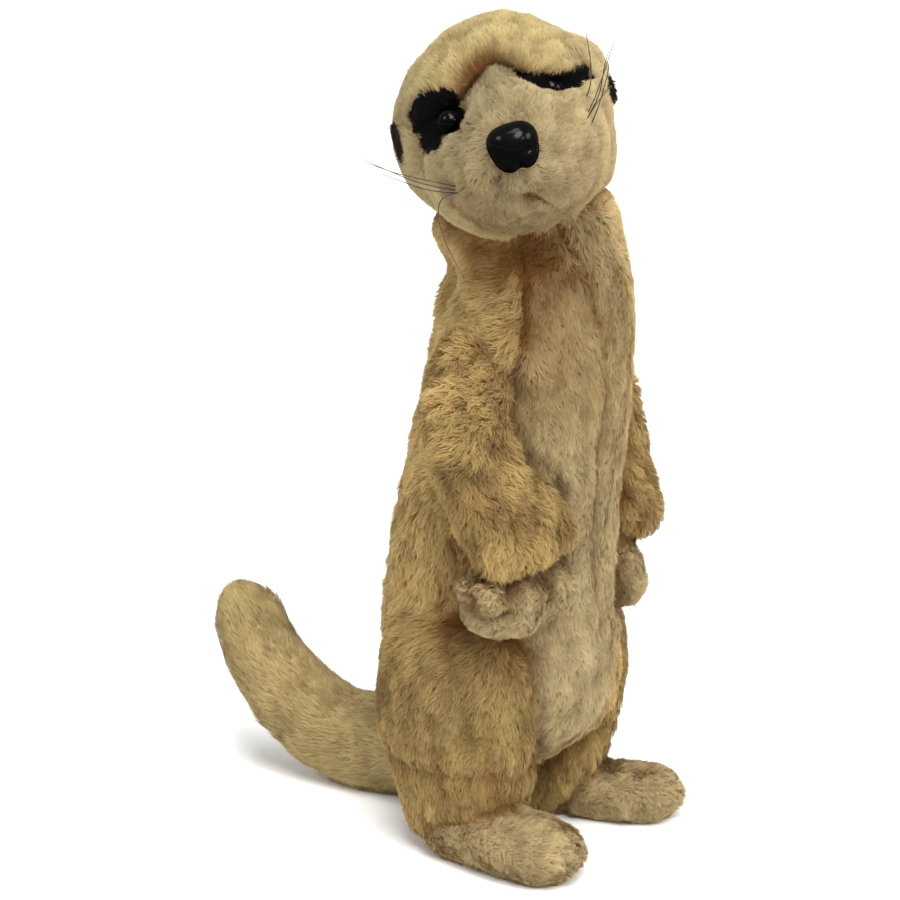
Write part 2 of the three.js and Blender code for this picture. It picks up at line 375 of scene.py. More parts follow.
def rotation(turn, tilt, nod):
    # The head's axes as columns: tilted about Y, then nodded about X, then turned about Z.
    z, y, x = np.radians([turn, tilt, nod])
    turned = np.array([[np.cos(z), -np.sin(z), 0], [np.sin(z), np.cos(z), 0], [0, 0, 1]])
    nodded = np.array([[1, 0, 0], [0, np.cos(x), -np.sin(x)], [0, np.sin(x), np.cos(x)]])
    tilted = np.array([[np.cos(y), 0, np.sin(y)], [0, 1, 0], [-np.sin(y), 0, np.cos(y)]])
    return turned @ nodded @ tilted


def boxMiddle(node):
    # The middle of a CAD node's box, in millimetres.
    return np.array(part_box(node)).mean(axis=0) / millimetre


# Where the toy stands in the frame: the trunk's sides and back, as wide as its widest station.
trunkBox = np.array(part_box("trunk")) / millimetre
bodyPoints = stuffedSurface(bodyForm)[0]
toyPlace = np.array([
    (trunkBox[:, 0].sum() - bodyPoints[:, 0].min() - bodyPoints[:, 0].max()) / 2,
    trunkBox[1, 1] - bodyPoints[:, 1].max(),
    0,
])
headAxes = rotation(headPose["turn"], headPose["tilt"], headPose["nod"])
headMiddle = sum(boxMiddle(f"eye_{side}") - headAxes @ eyes[side] for side in eyes) / 2 - toyPlace


def fromHead(points):
    # From places in the head's frame to places in the toy's.
    return np.asarray(points, float) @ headAxes.T + headMiddle


def toHead(points):
    # From places in the toy's frame to places in the head's.
    return (points - headMiddle) @ headAxes


def inMetres(points):
    # From millimetres in the toy's frame to metres in the CAD's.
    return (points + toyPlace) * millimetre


def meshPiece(name, points, faces, material):
    # A mesh of points in the toy's frame, from faces that all have the same number of corners.
    mesh = bpy.data.meshes.new(name)
    mesh.vertices.add(len(points))
    mesh.vertices.foreach_set("co", inMetres(points).astype(np.float32).ravel())
    mesh.loops.add(faces.size)
    mesh.loops.foreach_set("vertex_index", faces.astype(np.int32).ravel())
    mesh.polygons.add(len(faces))
    mesh.polygons.foreach_set("loop_start", np.arange(len(faces), dtype=np.int32) * faces.shape[1])
    mesh.update(calc_edges=True)
    mesh.shade_smooth()
    mesh.materials.append(material)
    piece = bpy.data.objects.new(name, mesh)
    bpy.context.scene.collection.objects.link(piece)
    return piece


def store(mesh, name, values):
    # A number for each vertex, that the materials read by name.
    numbers = mesh.attributes.new(name, "FLOAT", "POINT").data
    numbers.foreach_set("value", np.asarray(values, np.float32).ravel())


print(f"toy stands at {toyPlace.round(1)}, head at {headMiddle.round(1)}")


class Value:
    # A socket of a material's nodes, so that sums of values read as sums.
    def __init__(self, nodes, socket):
        self.nodes = nodes
        self.socket = socket

    def math(self, operation, *others):
        return self.nodes.add("ShaderNodeMath", {"operation": operation}, [self, *others])

    def __add__(self, other):
        return self.math("ADD", other)

    __radd__ = __add__

    def __sub__(self, other):
        return self.math("SUBTRACT", other)

    def __rsub__(self, other):
        return self.nodes.add("ShaderNodeMath", {"operation": "SUBTRACT"}, [other, self])

    def __mul__(self, other):
        return self.math("MULTIPLY", other)

    __rmul__ = __mul__

    def held(self):
        # Kept from 0 to 1.
        return self.nodes.add("ShaderNodeClamp", {}, [self])


class Nodes:
    # The nodes of one material. `add` makes any node: its settings first, then its sockets.
    def __init__(self, name):
        self.material = bpy.data.materials.new(name)
        self.material.use_nodes = True
        self.tree = self.material.node_tree
        self.tree.nodes.clear()

    def add(self, kind, settings, sockets, output=0):
        node = self.tree.nodes.new(kind)
        for setting, value in settings.items():
            setattr(node, setting, value)
        named = sockets.items() if isinstance(sockets, dict) else enumerate(sockets)
        for key, value in named:
            if isinstance(value, Value):
                self.tree.links.new(value.socket, node.inputs[key])
            else:
                node.inputs[key].default_value = value
        return Value(self, node.outputs[output]) if node.outputs else None

    def attribute(self, name):
        return self.add("ShaderNodeAttribute", {"attribute_name": name}, {}, "Fac")

    def noise(self, scale, detail=2.0):
        # Fine noise that stays with the piece.
        place = self.add("ShaderNodeTexCoord", {}, {}, "Object")
        return self.add("ShaderNodeTexNoise", {}, {"Vector": place, "Scale": scale, "Detail": detail}, "Fac")

    def mix(self, share, first, second, blend="MIX"):
        # A colour between two others. The float, vector and colour sockets share names, so the
        # colour ones go by number: 6 and 7 in, 2 out.
        settings = {"data_type": "RGBA", "blend_type": blend}
        return self.add("ShaderNodeMix", settings, {0: share, 6: first, 7: second}, 2)

    def finish(self, through=0.0, **sockets):
        # Joins the colour and the rest to the surface. A share of the light may pass through.
        names = {key.replace("_", " ").title(): value for key, value in sockets.items()}
        names = {key.replace("Ior", "IOR"): value for key, value in names.items()}
        shader = self.add("ShaderNodeBsdfPrincipled", {}, names)
        if through:
            glow = self.add("ShaderNodeBsdfTranslucent", {}, {"Color": sockets["base_color"]})
            shader = self.add("ShaderNodeMixShader", {}, [through, shader, glow])
        self.add("ShaderNodeOutputMaterial", {}, [shader])
        return self.material


def linear(red, green, blue):
    # A colour given on a screen's scale of 255, as the light it stands for.
    shares = np.array([red, green, blue]) / 255
    light = np.where(shares > 0.04045, ((shares + 0.055) / 1.055) ** 2.4, shares / 12.92)
    return (*light.tolist(), 1.0)


plushColours = {
    # The roots are darker and redder than the tips: partly the fibres' own colour, partly painted shade deep
    # in the pile.
    "goldRoot": linear(163, 113, 54),
    "goldTip": linear(193, 168, 110),
    "creamRoot": linear(162, 130, 84),
    "creamTip": linear(204, 190, 148),
    "headRoot": linear(178, 142, 82),
    "headTip": linear(206, 192, 142),
    "shade": linear(116, 76, 33),
    "blackRoot": linear(5, 5, 6),
    "blackTip": linear(10, 11, 12),
    "brownRoot": linear(26, 18, 13),
    "brownTip": linear(52, 38, 28),
}


plushFinish = {
    "grain": 0.16,  # how far the fine noise lightens a fibre
    "tone": 0.15,  # how far its own tone does
    "base": 0.92,
    "roughness": 0.9,
    "tipRoughness": 0.15,  # less at a fibre's tip
    "sheenTint": linear(255, 240, 210),
}


def plushMaterial(name, grain, through):
    # Pile that is darker and redder at its roots: partly the fibres' own colour, partly painted shade
    # deep in the pile. Each attribute says how far a fibre is pale, black, brown, in shade or off
    # the common tone, and `rise` runs from its root to its tip.
    nodes = Nodes(name)
    rise, bright = nodes.attribute("rise"), nodes.attribute("bright")
    goldRoot = nodes.mix(bright, plushColours["goldRoot"], plushColours["headRoot"])
    goldTip = nodes.mix(bright, plushColours["goldTip"], plushColours["headTip"])
    cream = nodes.mix(rise, plushColours["creamRoot"], plushColours["creamTip"])
    colour = nodes.mix(nodes.attribute("pale"), nodes.mix(rise, goldRoot, goldTip), cream)
    colour = nodes.mix(nodes.attribute("shade"), colour, plushColours["shade"])
    for mark in ("black", "brown"):
        marked = nodes.mix(rise, plushColours[f"{mark}Root"], plushColours[f"{mark}Tip"])
        colour = nodes.mix(nodes.attribute(mark), colour, marked)
    # `light` holds each part's lightness and also the painted light and shade that lightAt gives.
    tone = nodes.attribute("tone") * plushFinish["tone"] + nodes.attribute("light")
    tone = tone + nodes.noise(grain, 3.0) * plushFinish["grain"] + plushFinish["base"]
    grey = nodes.add("ShaderNodeCombineColor", {}, [tone, tone, tone])
    colour = nodes.mix(1.0, colour, grey, "MULTIPLY")
    rough = (plushFinish["roughness"] - rise * plushFinish["tipRoughness"]).held()
    return nodes.finish(through, base_color=colour, roughness=rough, specular_ior_level=0.08,
                        sheen_weight=0.015, sheen_roughness=0.5, sheen_tint=plushFinish["sheenTint"])


glossFinish = {
    "roughness": 0.4,
    "pitRoughness": 0.1,
    "pitDistance": 0.0004,
    "coat": 0.22,  # where the gloss is full
    # Thin where the piece faces down, which keeps the highlights on top: painted highlight.
    "coatFacingDown": 0.03,
}


def glossMaterial(name, colour, pitScale, pitDepth, blur):
    # Moulded plastic under a clear gloss, with a faint pebbled grain.
    nodes = Nodes(name)
    pits = nodes.noise(pitScale)
    bumps = {"Strength": pitDepth, "Distance": glossFinish["pitDistance"], "Height": pits}
    normal = nodes.add("ShaderNodeBump", {}, bumps)
    # The coat is fuller where the piece faces up, to keep the highlights there: painted highlight.
    coat = nodes.attribute("gloss") * glossFinish["coat"] + glossFinish["coatFacingDown"]
    rough = glossFinish["roughness"] + pits * glossFinish["pitRoughness"]
    return nodes.finish(base_color=colour, roughness=rough, normal=normal,
                        specular_ior_level=0.0, coat_weight=coat, coat_roughness=blur)


def plainMaterial(name, colour, roughness):
    # One colour, with a roughness that varies a little.
    nodes = Nodes(name)
    return nodes.finish(base_color=colour, roughness=(roughness + nodes.noise(60.0) * 0.1))


clothMaterial = plushMaterial("plush cloth", 900.0, 0.0)
pileMaterial = plushMaterial("plush pile", 260.0, 0.36)
noseMaterial = glossMaterial("moulded nose", linear(5, 5, 6), 2600.0, 0.35, 0.17)
eyeMaterial = glossMaterial("glass eye", linear(3, 3, 4), 40.0, 0.0, 0.1)
bristleMaterial = plainMaterial("nylon bristle", linear(38, 34, 32), 0.35)


# Every stuffed part of the skin below the head.
stuffedParts = {
    "body": bodyForm,
    "arm_right": rightArm,
    "arm_left": leftArm,
    "paw_right": rightPaw,
    "paw_left": leftPaw,
    "leg_right": rightLeg,
    "leg_left": leftLeg,
    "foot_right": rightFoot,
    "foot_left": leftFoot,
    "tail": tailForm,
}
partNames = [*stuffedParts, "skull", "muzzle"]
partNumber = {name: number for number, name in enumerate(partNames)}
headKinds = ("skull", "muzzle")
# The CAD nodes that the skin stands for.
skinNodes = [
    "trunk", "belly", "neck", "head", "muzzle", "tail_base", "tail_middle", "tail_tip",
    *(f"{limb}_{side}" for limb in ("arm", "paw", "leg", "foot") for side in ("right", "left")),
]
skinSettings = {
    "voxel": 1.45,
    "smoothing": (0.55, -0.57) * 10,  # in and out again, so that it doesn't shrink
    "foldDepth": 2.8,
    "lump": 0.8,
    "lumpSize": 26,
    "curl": 0.4,
    "curlSize": 4.6,
}


def inParts(parts, *kinds):
    # Whether each place is on a part of one of the kinds, such as an arm, on either side.
    return np.isin(parts, [number for name, number in partNumber.items() if name.split("_")[0] in kinds])


def perKind(table, parts):
    # What a table gives for the kind of part at each place, or 0 if it gives nothing.
    return np.array([table.get(name.split("_")[0], 0.0) for name in partNames])[parts]


def wholeSurface():
    # The surfaces of all the stuffed parts, one after another in one set of arrays.
    surfaces = [stuffedSurface(form) for form in stuffedParts.values()]
    for points, faces in (skullSurface(), muzzleSurface()):
        surfaces.append((fromHead(points), faces))
    starts = np.cumsum([0] + [len(points) for points, _ in surfaces])
    points = np.vstack([points for points, _ in surfaces])
    faces = np.vstack([faces + start for (_, faces), start in zip(surfaces, starts)])
    points[:, 2] = np.maximum(points[:, 2], 0)  # the soles are flat on the floor
    return points, faces


def fused(points, faces):
    # One skin round all the parts: their outer surface, rebuilt on a fine cubic grid.
    def taken(rows, key, width, kind):
        values = np.empty(len(rows) * width, kind)
        rows.foreach_get(key, values)
        return values.reshape(-1, width)

    rough = meshPiece("rough_form", points, faces, clothMaterial)
    remesh = rough.modifiers.new("one skin", "REMESH")
    remesh.mode = "VOXEL"
    remesh.voxel_size = skinSettings["voxel"] * millimetre
    done = rough.evaluated_get(bpy.context.evaluated_depsgraph_get()).to_mesh()
    done.calc_loop_triangles()
    points = taken(done.vertices, "co", 3, np.float32).astype(float) / millimetre - toyPlace
    edges = taken(done.edges, "vertices", 2, np.int32)
    triangles = taken(done.loop_triangles, "vertices", 3, np.int32)
    bpy.data.objects.remove(rough)
    return points, edges, triangles


def relaxed(values, edges, rounds, share=0.5):
    # Each value moves a share of the way to the average of its neighbours, round after round.
    flat = np.array(values, float).reshape(len(values), -1)
    one, other = edges[:, 0], edges[:, 1]
    count = np.bincount(edges.ravel(), minlength=len(flat))[:, None]
    for _ in range(rounds):
        near = [
            np.bincount(one, column[other], len(flat)) + np.bincount(other, column[one], len(flat))
            for column in flat.T
        ]
        flat += share * (np.stack(near, 1) / count - flat)
    return flat.reshape(np.shape(values))


def vertexNormals(points, triangles):
    # The area-weighted average direction of the triangles at each vertex.
    corners = points[triangles]
    facing = np.cross(corners[:, 1] - corners[:, 0], corners[:, 2] - corners[:, 0])
    return unit(np.stack([
        sum(np.bincount(triangles[:, corner], facing[:, axis], len(points)) for corner in range(3))
        for axis in range(3)
    ], 1))


def placeOn(form, points, samples=61):
    # Where each point lies against a part: the share along its spine, the angle round it, its
    # distance outside the part's surface, and the part's forward direction there.
    at = np.linspace(0, 1, samples)
    middle, forward, width, depth, half = spine(form, at)
    near = ((points[:, None, :] - middle[None]) ** 2).sum(-1).argmin(1)
    offset = points - middle[near]
    across = np.einsum("ij,ij->i", offset, width[near])
    through = np.einsum("ij,ij->i", offset, depth[near])
    angle = np.arctan2(through, across)
    shares = np.abs(np.stack([np.cos(angle), np.sin(angle)], 1)) / half[near]
    radius = (shares**squareness).sum(1) ** (-1 / squareness) * dome(at[near], form["ends"])
    return at[near], angle, np.linalg.norm(offset, axis=1) - radius, forward[near]


def bodyAngle(points):
    # The angle round the body from straight ahead towards the toy's left, in degrees.
    stations = np.array(bodyForm["stations"], float)
    middleX = np.interp(points[:, 2], stations[:, 2], stations[:, 0])
    middleY = np.interp(points[:, 2], stations[:, 2], stations[:, 1])
    return np.degrees(np.arctan2(points[:, 0] - middleX, middleY - points[:, 1]))


# Seams of the pale front panel: the angle of each round the body, at heights above the floor.
frontPanel = {
    "rightHeight": (30, 50, 90, 190, 232, 255),
    "rightAngle": (0, -34, -50, -50, -47, -40),
    "leftHeight": (30, 50, 75, 100, 192, 198, 202, 219, 229, 241, 255),
    "leftAngle": (0, 24, 44, 58, 62, 30, 10, 3, -1, -6, -13),
    "seamHeight": (60, 90, 100, 120, 138, 160, 175, 189, 202, 219, 229, 241, 255),
    "seamAngle": (20, 18, 17, 16, 13, 9, 10, 13, 9, 3, -1, -6, -13),
}
bodyDegree = 0.65  # millimetres round the body in one degree


def panelAngles(height):
    # The angles of the front panel's right and left edges at a height.
    right = np.interp(height, frontPanel["rightHeight"], frontPanel["rightAngle"])
    left = np.interp(height, frontPanel["leftHeight"], frontPanel["leftAngle"])
    return right, left


def farSeamOffset(points, angle):
    # Millimetres round the body from the sewn line down its front, which swings to its left.
    return (angle - np.interp(points[:, 2], frontPanel["seamHeight"], frontPanel["seamAngle"])) * bodyDegree


# Soft upright folds of the belly: the angle of each round the body, the way it sways, its width,
# its middle's height, how far it reaches up and down, and its strength.
bellyFolds = [(29, 1, 1.7, 130, 38, 1.0), (40, -1, 2.0, 112, 30, 1.0), (-8, 1, 2.4, 90, 26, 0.4)]


def foldsOfBelly(points, angle):
    # 1 along the folds of the belly, 0 away from them.
    sway = 2 * np.sin(points[:, 2] / 17)
    return sum(
        strength * bump((angle - middle) * bodyDegree + way * sway, width) * bump(points[:, 2] - up, reach)
        for middle, way, width, up, reach, strength in bellyFolds
    )


# The black patch round the right eye: a rounded square with a tail down towards the ear, and a
# ring that is set off from the eye's middle.
eyePatch = {
    "middle": (-23.2, 10.8),
    "half": (10.2, 9.2),
    "power": 2.5,
    "tail": (-28.0, 2.0),
    "tailRadius": 5.2,
    "ring": (0.6, 1),
    "ringRadius": 6.0,
}
# What shows of the left one, under the brow: its lower edge, at places across.
leftPatch = {
    "across": (6, 9, 12, 15.8, 20, 24, 27, 30.5, 35),
    "height": (16.5, 12.8, 9.6, 6.6, 4.6, 3.2, 3.2, 4.2, 5.8),
    "sides": (8, 35),
}


def blackPatch(head, ragged):
    # 1 inside the two patches, 0 outside, for places in the head's frame. The edge is ragged.
    x, z = head[:, 0], head[:, 2]
    middle, half, power = eyePatch["middle"], eyePatch["half"], eyePatch["power"]
    square = np.abs((x - middle[0]) / half[0]) ** power + np.abs((z - middle[1]) / half[1]) ** power
    inSquare = (1 - square ** (1 / power)) * half[0]
    tail = eyePatch["tailRadius"] - np.hypot(x - eyePatch["tail"][0], z - eyePatch["tail"][1])
    (eyeX, _, eyeZ), (ringX, ringZ) = eyes["right"], eyePatch["ring"]
    ring = eyePatch["ringRadius"] - np.hypot(x - eyeX - ringX, z - eyeZ - ringZ)
    right = np.maximum(np.maximum(inSquare, tail), ring)
    lower = z - np.interp(x, leftPatch["across"], leftPatch["height"])
    upper = browHeight(x) + 0.5 + 1.5 * smoothStep(12, 18, x) - z
    inner, outer = leftPatch["sides"]
    left = np.minimum(np.minimum(lower, upper), np.minimum(x - inner, outer - x))
    inside = np.maximum(right, left) + ragged
    return smoothStep(-0.5, 0.5, inside) * (head[:, 1] < -8)


# Where the pile stays in shade: places in the toy's frame, a radius and how strong, which is
# negative where the pile catches the light instead.
shadedPlaces = [
    ((-40, -12, 100), 11, 0.35),
    ((-22, -35, 99), 14, 0.25),
    ((-21, -31, 214), 7, 0.35),
    ((-40, -43.8, 119), 4.5, 0.75),
    ((-20.8, -44, 119), 4.0, 0.75),
    ((-13.2, -48, 120), 5.5, -0.4),
    ((-9.7, -38, 164), 7, -0.3),
    ((-52, -38, 118), 4.5, 0.75),
    ((-47, -42, 153), 10, 0.2),
    ((-13, -37, 197), 13, 0.15),
    ((-16, -32, 222), 12, 0.1),
    ((-41, -5, 158), 8, 0.35),
    ((-39, -8, 146), 9, 0.45),
    ((-40, -10, 132), 9, 0.45),
    ((-41, -12, 116), 12, 0.45),
    ((-22, -22, 92), 13, 0.35),
    ((-36, -10, 98), 12, 0.35),
    ((-28, -24, 33), 9, 0.35),
    ((-40, -12, 28), 9, 0.3),
]
# How much lighter or darker the plush of each part is than the common tone.
lightness = {
    "body": -0.02, "arm": -0.05, "paw": -0.04, "leg": -0.03,
    "foot": 0.04, "tail": 0.02, "skull": -0.03, "muzzle": -0.03,
}
# How far each part's gold is the lighter one of the head.
brightShare = {"skull": 1, "muzzle": 1, "tail": 0.95, "body": 0.4, "leg": 0.2, "arm": 0.15}
# How much lighter or darker some places are than the rest of their part. The far cheek, the left
# flank and the left shoulder get painted light, and the chin painted shade.
lightOf = {
    "headSides": 0.26,
    "face": -0.07,
    "paintedLightFarCheek": 0.05,
    "bridge": -0.15,
    "chin": -0.05,
    "tail": -0.13,
    "tailBend": 0.2,
    "thigh": -0.2,
    "upperArm": -0.11,
    "paintedLightLeftFlank": 0.18,
    "paintedLightLeftShoulder": 0.3,
    "belly": 0.08,
    "chest": -0.05,
    "back": 0.12,
    "shoulders": 0.02,
}
acrossHead = {"face": 0.003, "sides": -0.0032}  # more light for each millimetre to the left


def lightAt(points, head, parts, pale):
    # Each part's lightness, more at the sides of the head, the left side of the body and low on the
    # belly, less on the face, the chest, the thighs and the upper arms. The face's lighter left side,
    # its far cheek, the left flank and the left shoulder are painted light, and the darker chin is
    # painted shade.
    light = perKind(lightness, parts)
    across, height, angle = head[:, 0], points[:, 2], bodyAngle(points)
    sides = smoothStep(22, 36, np.abs(across)) * (1 - pale)
    # Painted light: the face grows lighter towards its left side and on its far cheek.
    face = lightOf["face"] + acrossHead["face"] * across + lightOf["paintedLightFarCheek"] * smoothStep(4, 22, across)
    face += lightOf["bridge"] * smoothStep(-4, 8, head[:, 2]) * bump(across, 16)
    # Painted shade on the chin.
    face += lightOf["chin"] * smoothStep(-8, -36, head[:, 2])
    onSides = (lightOf["headSides"] + acrossHead["sides"] * across) * sides
    light += inParts(parts, *headKinds) * (onSides + pale * face)
    light += inParts(parts, "tail") * (lightOf["tail"] + lightOf["tailBend"] * bump(points[:, 1] - 106, 18))
    light += inParts(parts, "leg") * lightOf["thigh"] * bump(height - 66, 24)
    light += inParts(parts, "arm") * lightOf["upperArm"] * bump(height - 172, 20)
    belly = lightOf["belly"] * smoothStep(125, 75, height) + lightOf["chest"] * smoothStep(140, 190, height)
    back = lightOf["back"] + lightOf["shoulders"] * smoothStep(170, 200, height)
    body = pale * belly + (1 - pale) * back
    # Painted light on the left flank and the left shoulder.
    body += lightOf["paintedLightLeftFlank"] * smoothStep(12, 50, angle) * smoothStep(120, 80, angle)
    body += lightOf["paintedLightLeftShoulder"] * smoothStep(18, 55, angle) * smoothStep(150, 190, height)
    return light + inParts(parts, "body") * body


# Puffs and dimples of the face: places across and up, a radius and how far each stands out.
facePuffs = [
    (-15, -15, 5.0, 2.4),
    (-8.5, -17.5, 3.5, -2.4),
    (-26, -15, 4.0, -1.0),
    (-21.5, -6, 5.0, 2.2),
    (-14, -31, 7.0, 2.2),
    (-5, -22, 3.5, 1.6),
    (8, -24, 3.5, 2.0),
    (14.5, -28, 7.5, 2.4),
    (14, -17, 4.0, -1.6),
    (25, -6, 7.0, 2.0),
    (24, -20, 5.0, -1.4),
    (-20, -24, 4.0, 1.6),
]


def puffedOut(head):
    # How far the puffs and dimples stand out at places in the head's frame.
    return sum(
        high * bump(np.hypot(head[:, 0] - across, head[:, 2] - up), wide)
        for across, up, wide, high in facePuffs
    )


def gathered(points, places):
    # The sum of soft balls, each at a place, with a radius and a strength.
    return sum(
        strength * bump(np.linalg.norm(points - np.array(place), axis=1), radius)
        for place, radius, strength in places
    )


def mouthHeight(across):
    # The line of the mouth in the head's frame, arched and lower at its left end.
    return -27.9 - 0.044 * (across - 1) ** 2 - 0.61 * (across - 1)


# The pale panel of the face: its middle across, half its width and half its height, and how far
# back it reaches. Its middle is as high as the nose's axis.
facePanel = {"middle": 0.8, "half": (30.6, 31), "back": -6}


def onFacePanel(head, ragged):
    # 1 on the pale panel of the face, which is round and ends under the brow.
    across = (head[:, 0] - facePanel["middle"]) / facePanel["half"][0]
    up = (head[:, 2] - noseAxis) / facePanel["half"][1]
    inside = (1 - np.hypot(across, up)) * facePanel["half"][1]
    underBrow = smoothStep(-0.8, 0.8, browHeight(head[:, 0]) - head[:, 2] + ragged)
    return smoothStep(-0.8, 0.8, inside + ragged) * underBrow * (head[:, 1] < facePanel["back"])


def paleAt(points, head, parts, face, ragged):
    # How far the plush is the pale one: on the face and the front panel, the paws and the feet,
    # and a little at the sides of the head, on the tail and on the strip beyond the far seam.
    # Gives that strip too.
    height, angle = points[:, 2], bodyAngle(points)
    right, left = panelAngles(height)
    onBody = inParts(parts, "body")
    inPanel = smoothStep(-1.2, 1.2, np.minimum(angle - right, left - angle) * bodyDegree + ragged)
    inPanel *= smoothStep(30, 44, height) * (1 - 0.45 * smoothStep(120, 215, height))
    onSides = np.maximum(face, 0.9 * smoothStep(18, 36, np.abs(head[:, 0])))
    pale = np.where(inParts(parts, *headKinds), onSides, 0)
    pale = np.where(onBody, inPanel, pale)
    pale = np.where(inParts(parts, "paw", "foot"), 0.9, pale)
    pale = np.where(inParts(parts, "tail"), 0.3 * bump(points[:, 1] - 106, 22), pale)
    strip = onBody * smoothStep(1, 5, angle - left) * smoothStep(112, 88, angle)
    strip *= smoothStep(185, 205, height)
    return np.maximum(pale, 0.6 * strip), strip


# How strong the brown shade is in each kind of place that holds it.
shadeOf = {
    "crease": 0.95,
    "chin": 0.33,
    "mouth": 0.95,
    "dimples": 0.18,
    "neck": 0.76,
    "folds": 0.6,
    "ankle": 0.25,
    "farSeam": 0.6,
    "rightSeam": 0.4,
    "bellyFolds": 0.2,
    "chest": 0.47,
    "gold": 0.08,
    "goldOfArm": 0.15,
    "ruff": 0.3,
    "paleFlecks": 0.25,
    "most": 0.95,
}


def faceShade(head, face):
    # Shade in the crease under the brow, on the chin, along the mouth and in the dimples.
    x, y, z = head.T
    under = z - browHeight(x)
    above = bump(under - 0.5, 7.5 - 3.5 * bump(x - 2, 6))
    crease = np.where(under > 0, above, bump(under, 3.0)) * bump(x + 3, 17) * (y < -20)
    chin = smoothStep(-12, -40, z) * smoothStep(-5, -25, y)
    chin += 0.9 * smoothStep(-2, -24, x) * smoothStep(-4, -22, z) * face
    mouth = bump(z - mouthHeight(x), 1.0) * bump(x - 2, 5)
    mouth += 0.45 * bump(np.hypot(x - 0.2, 1.4 * (z + 28.4)), 2.6)
    dimples = np.maximum(0, -puffedOut(head)) * face * (y < -20)
    shade = shadeOf["crease"] * crease + shadeOf["chin"] * chin
    return shade + shadeOf["mouth"] * mouth * (y < -35) + shadeOf["dimples"] * dimples


def bodyShade(points, head, pale):
    # Shade under the head, along the seams, in the folds of the belly and up the chest.
    height, angle = points[:, 2], bodyAngle(points)
    neck = bump(height - 245, 17) * smoothStep(-10, 15, -head[:, 1])
    neck *= 0.15 + 0.85 * smoothStep(-100, -84, angle) * smoothStep(8, -48, angle)
    farSeam = bump(farSeamOffset(points, angle), 2.0) * smoothStep(75, 110, height)
    fromEdge = (angle - panelAngles(height)[0]) * bodyDegree
    rightSeam = bump(fromEdge, 3.0) * smoothStep(150, 180, height)
    chest = smoothStep(140, 225, height) * pale * (0.3 + 0.7 * smoothStep(32, 4, angle))
    ruff = bump(height - 243, 14) * np.maximum(0, softNoise(points, 5, 6))
    shade = shadeOf["neck"] * neck + shadeOf["farSeam"] * farSeam + shadeOf["rightSeam"] * rightSeam
    shade += shadeOf["bellyFolds"] * foldsOfBelly(points, angle)
    return shade + shadeOf["chest"] * chest + shadeOf["ruff"] * ruff


def markings(points, parts, fold):
    # How pale, black, brown, shaded, bright and light the plush is at each place. Shade gathers
    # on the face and the body, in folds, at a few sheltered places and in soft flecks.
    head = toHead(points)
    ragged = 0.9 * softNoise(points, 1.6, 3) + 0.6 * softNoise(points, 4.0, 4)
    face = onFacePanel(head, ragged)
    pale, strip = paleAt(points, head, parts, face, ragged)
    onHead, onBody = inParts(parts, *headKinds), inParts(parts, "body")
    shade = faceShade(head, face) * onHead + bodyShade(points, head, pale) * onBody
    shade += shadeOf["folds"] * fold + gathered(points, shadedPlaces)
    shade += shadeOf["ankle"] * bump(points[:, 2] - 40, 5) * inParts(parts, "leg")
    patches = np.maximum(0, softNoise(points, 13, 5)) * ~onHead * (1 - pale)
    shade += (shadeOf["gold"] + shadeOf["goldOfArm"] * inParts(parts, "arm")) * patches
    shade += shadeOf["paleFlecks"] * np.maximum(0, softNoise(points, 2.4, 12)) * pale * ~onHead
    return {
        "pale": pale,
        "black": blackPatch(head, ragged) * onHead,
        "brown": np.zeros(len(points)),
        "shade": np.clip(shade, 0, shadeOf["most"]),
        "bright": np.maximum(perKind(brightShare, parts), 0.8 * strip),
        "light": lightAt(points, head, parts, pale),
    }


def groove(distance, depth, width):
    # A rounded hollow along the line where the distance is 0.
    return -depth * bump(distance, width)


def faceRelief(head):
    # Hollows and folds of the face, in the head's frame: the crease under the brow, the seats
    # of the eyes and nose, the line from nose to mouth, and the mouth.
    x, y, z = head.T
    under = z - browHeight(x)
    brow = groove(under + 0.6, 4.0, 2.3) * smoothStep(34, 20, np.abs(x - 2))
    hollow = groove(np.hypot(*(head - eyes["right"])[:, [0, 2]].T), 1.0, 5.5)
    # The left eye is almost closed: the roll comes down over it and the cheek rises below.
    lid = 7.0 * bump(z - 11, 4.4) * bump(x - 21, 11) + 4.4 * bump(z - 0.4, 3.0) * bump(x - 21, 9)
    bridge = 1.6 * bump(np.hypot((x - 1) / 1.4, z - 6), 8)
    bridge = bridge + 2.0 * bump(np.hypot(x - 2, (z - 15) / 1.2), 6)
    seat = groove(np.hypot(x, z - noseAxis), 2.0, 9) * smoothStep(45, 55, -y)
    split = groove(x - 0.16 * (-19 - z), 1.8, 1.3) * smoothStep(-17, -19, z) * smoothStep(-29, -27, z)
    mouth = groove(z - mouthHeight(x), 3.4, 1.2) * bump(x - 2, 4.8)
    lips = (split + mouth) * smoothStep(38, 44, -y)
    chin = 1.4 * bump(np.hypot((x - 1) / 1.6, z + 27), 9) * smoothStep(35, 45, -y)
    return smoothStep(5, 25, -y) * (brow + hollow + lid + bridge + seat + lips + (chin + puffedOut(head)))


def browHang(head):
    # How far the brow's roll sags down over the crease.
    under = head[:, 2] - browHeight(head[:, 0])
    return 2.6 * bump(under - 4.5, 4) * smoothStep(8, 28, -head[:, 1])


def bodyRelief(points):
    # The sewn edges of the front panel, and soft folds of the belly below them.
    right, _ = panelAngles(points[:, 2])
    angle = bodyAngle(points)
    seams = groove((angle - right) * bodyDegree, 2.2, 2.0) * smoothStep(60, 90, points[:, 2])
    seams += groove(farSeamOffset(points, angle), 4.0, 1.7) * smoothStep(80, 130, points[:, 2])
    return seams - 3.8 * foldsOfBelly(points, angle)


# Folds across the leg above the ankle: height, slope across it, depth and width.
ankleFolds = [(42, 0.05, 0.8, 2.2), (30, 0.1, 0.4, 2.0)]
